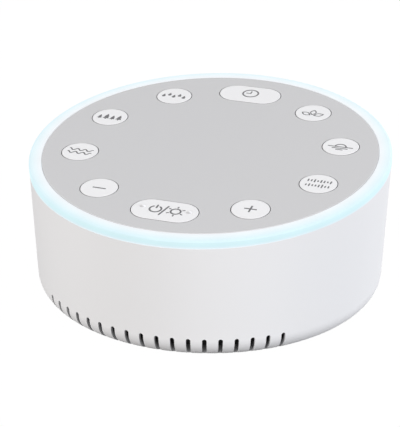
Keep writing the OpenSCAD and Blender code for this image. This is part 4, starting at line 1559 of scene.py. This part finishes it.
@dataclass(frozen=True)
class Studio:
    """The floor, the lamps, the plain surroundings and the camera.

    Attributes:
        camera_place: Where the camera stands.
        camera_target: The point in the middle of its picture.
        lens: Its focal length, in millimetres.
        sensor: Width of its sensor, in millimetres.
        clip: The nearest and the farthest distance that it sees.
        floor_side: The floor's side.
        floor_cells: How many cells the floor has along a side.
        floor_shade: Share of the floor's own shading that the camera sees.
        floor_glow: How bright the rest of it is.
        paper: The floor's colour where its own shading shows.
        ambient: Strength of the light from all round.
        lit_point: The point that the lamps light.
        lamps: The lamps.
    """

    camera_place: tuple[float, float, float] = (181.65 * MM, -524.5 * MM, 274.4 * MM)
    camera_target: tuple[float, float, float] = (14.82 * MM, -52.29 * MM, 50.6 * MM)
    lens: float = 146.8
    sensor: float = 36.0
    clip: tuple[float, float] = (0.01, 20.0)
    floor_side: float = 6.0
    floor_cells: int = 8
    floor_shade: float = 0.12
    floor_glow: float = 1.13
    paper: Colour = screen(90, 90, 90)
    ambient: float = 0.51
    lit_point: tuple[float, float, float] = (0.0, 0.0, 0.03)
    lamps: tuple[Softbox, ...] = (
        Softbox("top_softbox", (0.05, 0.1, 1.1), size=1.1, power=0.8),
        Softbox("back_softbox", (0.3, 1.38, 0.45), size=0.7, power=3.2),
        Softbox("left_softbox", (-0.63, -1.22, 0.42), size=0.7, power=12.5, colour=(1.0, 0.972, 0.94)),
        Softbox("right_softbox", (1.36, -0.2, 0.42), size=0.7, power=14.4, colour=(0.945, 0.965, 1.0)),
    )

    def lay_floor(self) -> None:
        """Lays the floor."""
        shape = bmesh.new()
        cells = self.floor_cells
        bmesh.ops.create_grid(shape, x_segments=cells, y_segments=cells, size=self.floor_side / 2)
        mesh = bpy.data.meshes.new("floor")
        shape.to_mesh(mesh)
        shape.free()
        mesh.materials.append(self.floor_material())
        floor = bpy.data.objects.new("floor", mesh)
        bpy.context.scene.collection.objects.link(floor)

    def seen_directly(self, graph: Graph) -> bpy.types.NodeSocket:
        """Tells the rays that show the surroundings, straight or in a reflection, from the others.

        Args:
            graph: The tree of the floor's material or the world.

        Returns:
            A socket that is 1 on those rays.
        """
        rays = graph.add("ShaderNodeLightPath")
        shown = graph.math("MAXIMUM", rays.outputs["Is Camera Ray"], rays.outputs["Is Glossy Ray"])
        return graph.math("MAXIMUM", shown, rays.outputs["Is Transmission Ray"])

    def floor_material(self) -> bpy.types.Material:
        """Makes a paper that shows as plain white but for a soft shadow.

        Returns:
            The paper's material.
        """
        made = bpy.data.materials.new("floor_white")
        made.use_nodes = True
        made.node_tree.nodes.clear()
        graph = Graph(made.node_tree)
        paper = graph.add("ShaderNodeBsdfDiffuse", {"Color": self.paper})
        white = graph.add("ShaderNodeEmission", {"Color": WHITE, "Strength": self.floor_glow})
        share = graph.math("MULTIPLY", self.seen_directly(graph), 1 - self.floor_shade)
        mixed = graph.add("ShaderNodeMixShader", {0: share, 1: paper.outputs[0], 2: white.outputs[0]})
        graph.add("ShaderNodeOutputMaterial", {"Surface": mixed.outputs[0]})
        return made

    def light(self) -> None:
        """Hangs the lamps and sets the light from all round."""
        for lamp in self.lamps:
            lamp.hang(Vector(self.lit_point))
        world = bpy.data.worlds.new("plain_white")
        world.use_nodes = True
        world.node_tree.nodes.clear()
        graph = Graph(world.node_tree)
        shown = graph.add("ShaderNodeBackground", {"Color": WHITE, "Strength": 1.0})
        ambient = graph.add("ShaderNodeBackground", {"Color": WHITE, "Strength": self.ambient})
        shades = {0: self.seen_directly(graph), 1: ambient.outputs[0], 2: shown.outputs[0]}
        mixed = graph.add("ShaderNodeMixShader", shades)
        graph.add("ShaderNodeOutputWorld", {"Surface": mixed.outputs[0]})
        bpy.context.scene.world = world

    def place_camera(self) -> None:
        """Sets the camera at the photograph's viewpoint."""
        lens = bpy.data.cameras.new("camera")
        lens.lens = self.lens
        lens.sensor_fit = "AUTO"
        lens.sensor_width = self.sensor
        lens.clip_start, lens.clip_end = self.clip
        camera = bpy.data.objects.new("camera", lens)
        place = Vector(self.camera_place)
        camera.location = place
        camera.rotation_euler = (Vector(self.camera_target) - place).to_track_quat("-Z", "Y").to_euler()
        bpy.context.scene.collection.objects.link(camera)
        bpy.context.scene.camera = camera

    def build(self) -> None:
        """Sets up the whole studio."""
        self.lay_floor()
        self.light()
        self.place_camera()
        bpy.context.scene.view_settings.view_transform = "Standard"


def corners(bounds: Sequence[Sequence[float]]) -> list[list[float]]:
    """Returns a box as plain lists of numbers."""
    return [[float(value) for value in corner] for corner in bounds]


def main() -> None:
    """Dresses and details the machine and sets up the studio."""
    logging.basicConfig(level=logging.INFO, format="%(name)s: %(message)s")
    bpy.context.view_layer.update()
    face = TopFace()
    Housing().dress()
    LightRing().dress()
    panel = KeyPanel(face)
    panel.dress()
    panel.print_signs()
    for works in (KeyWorks(), Fasteners(), Speaker(), MainWorks()):
        works.dress()
    Studio().build()


if __name__ == "__main__":
    main()
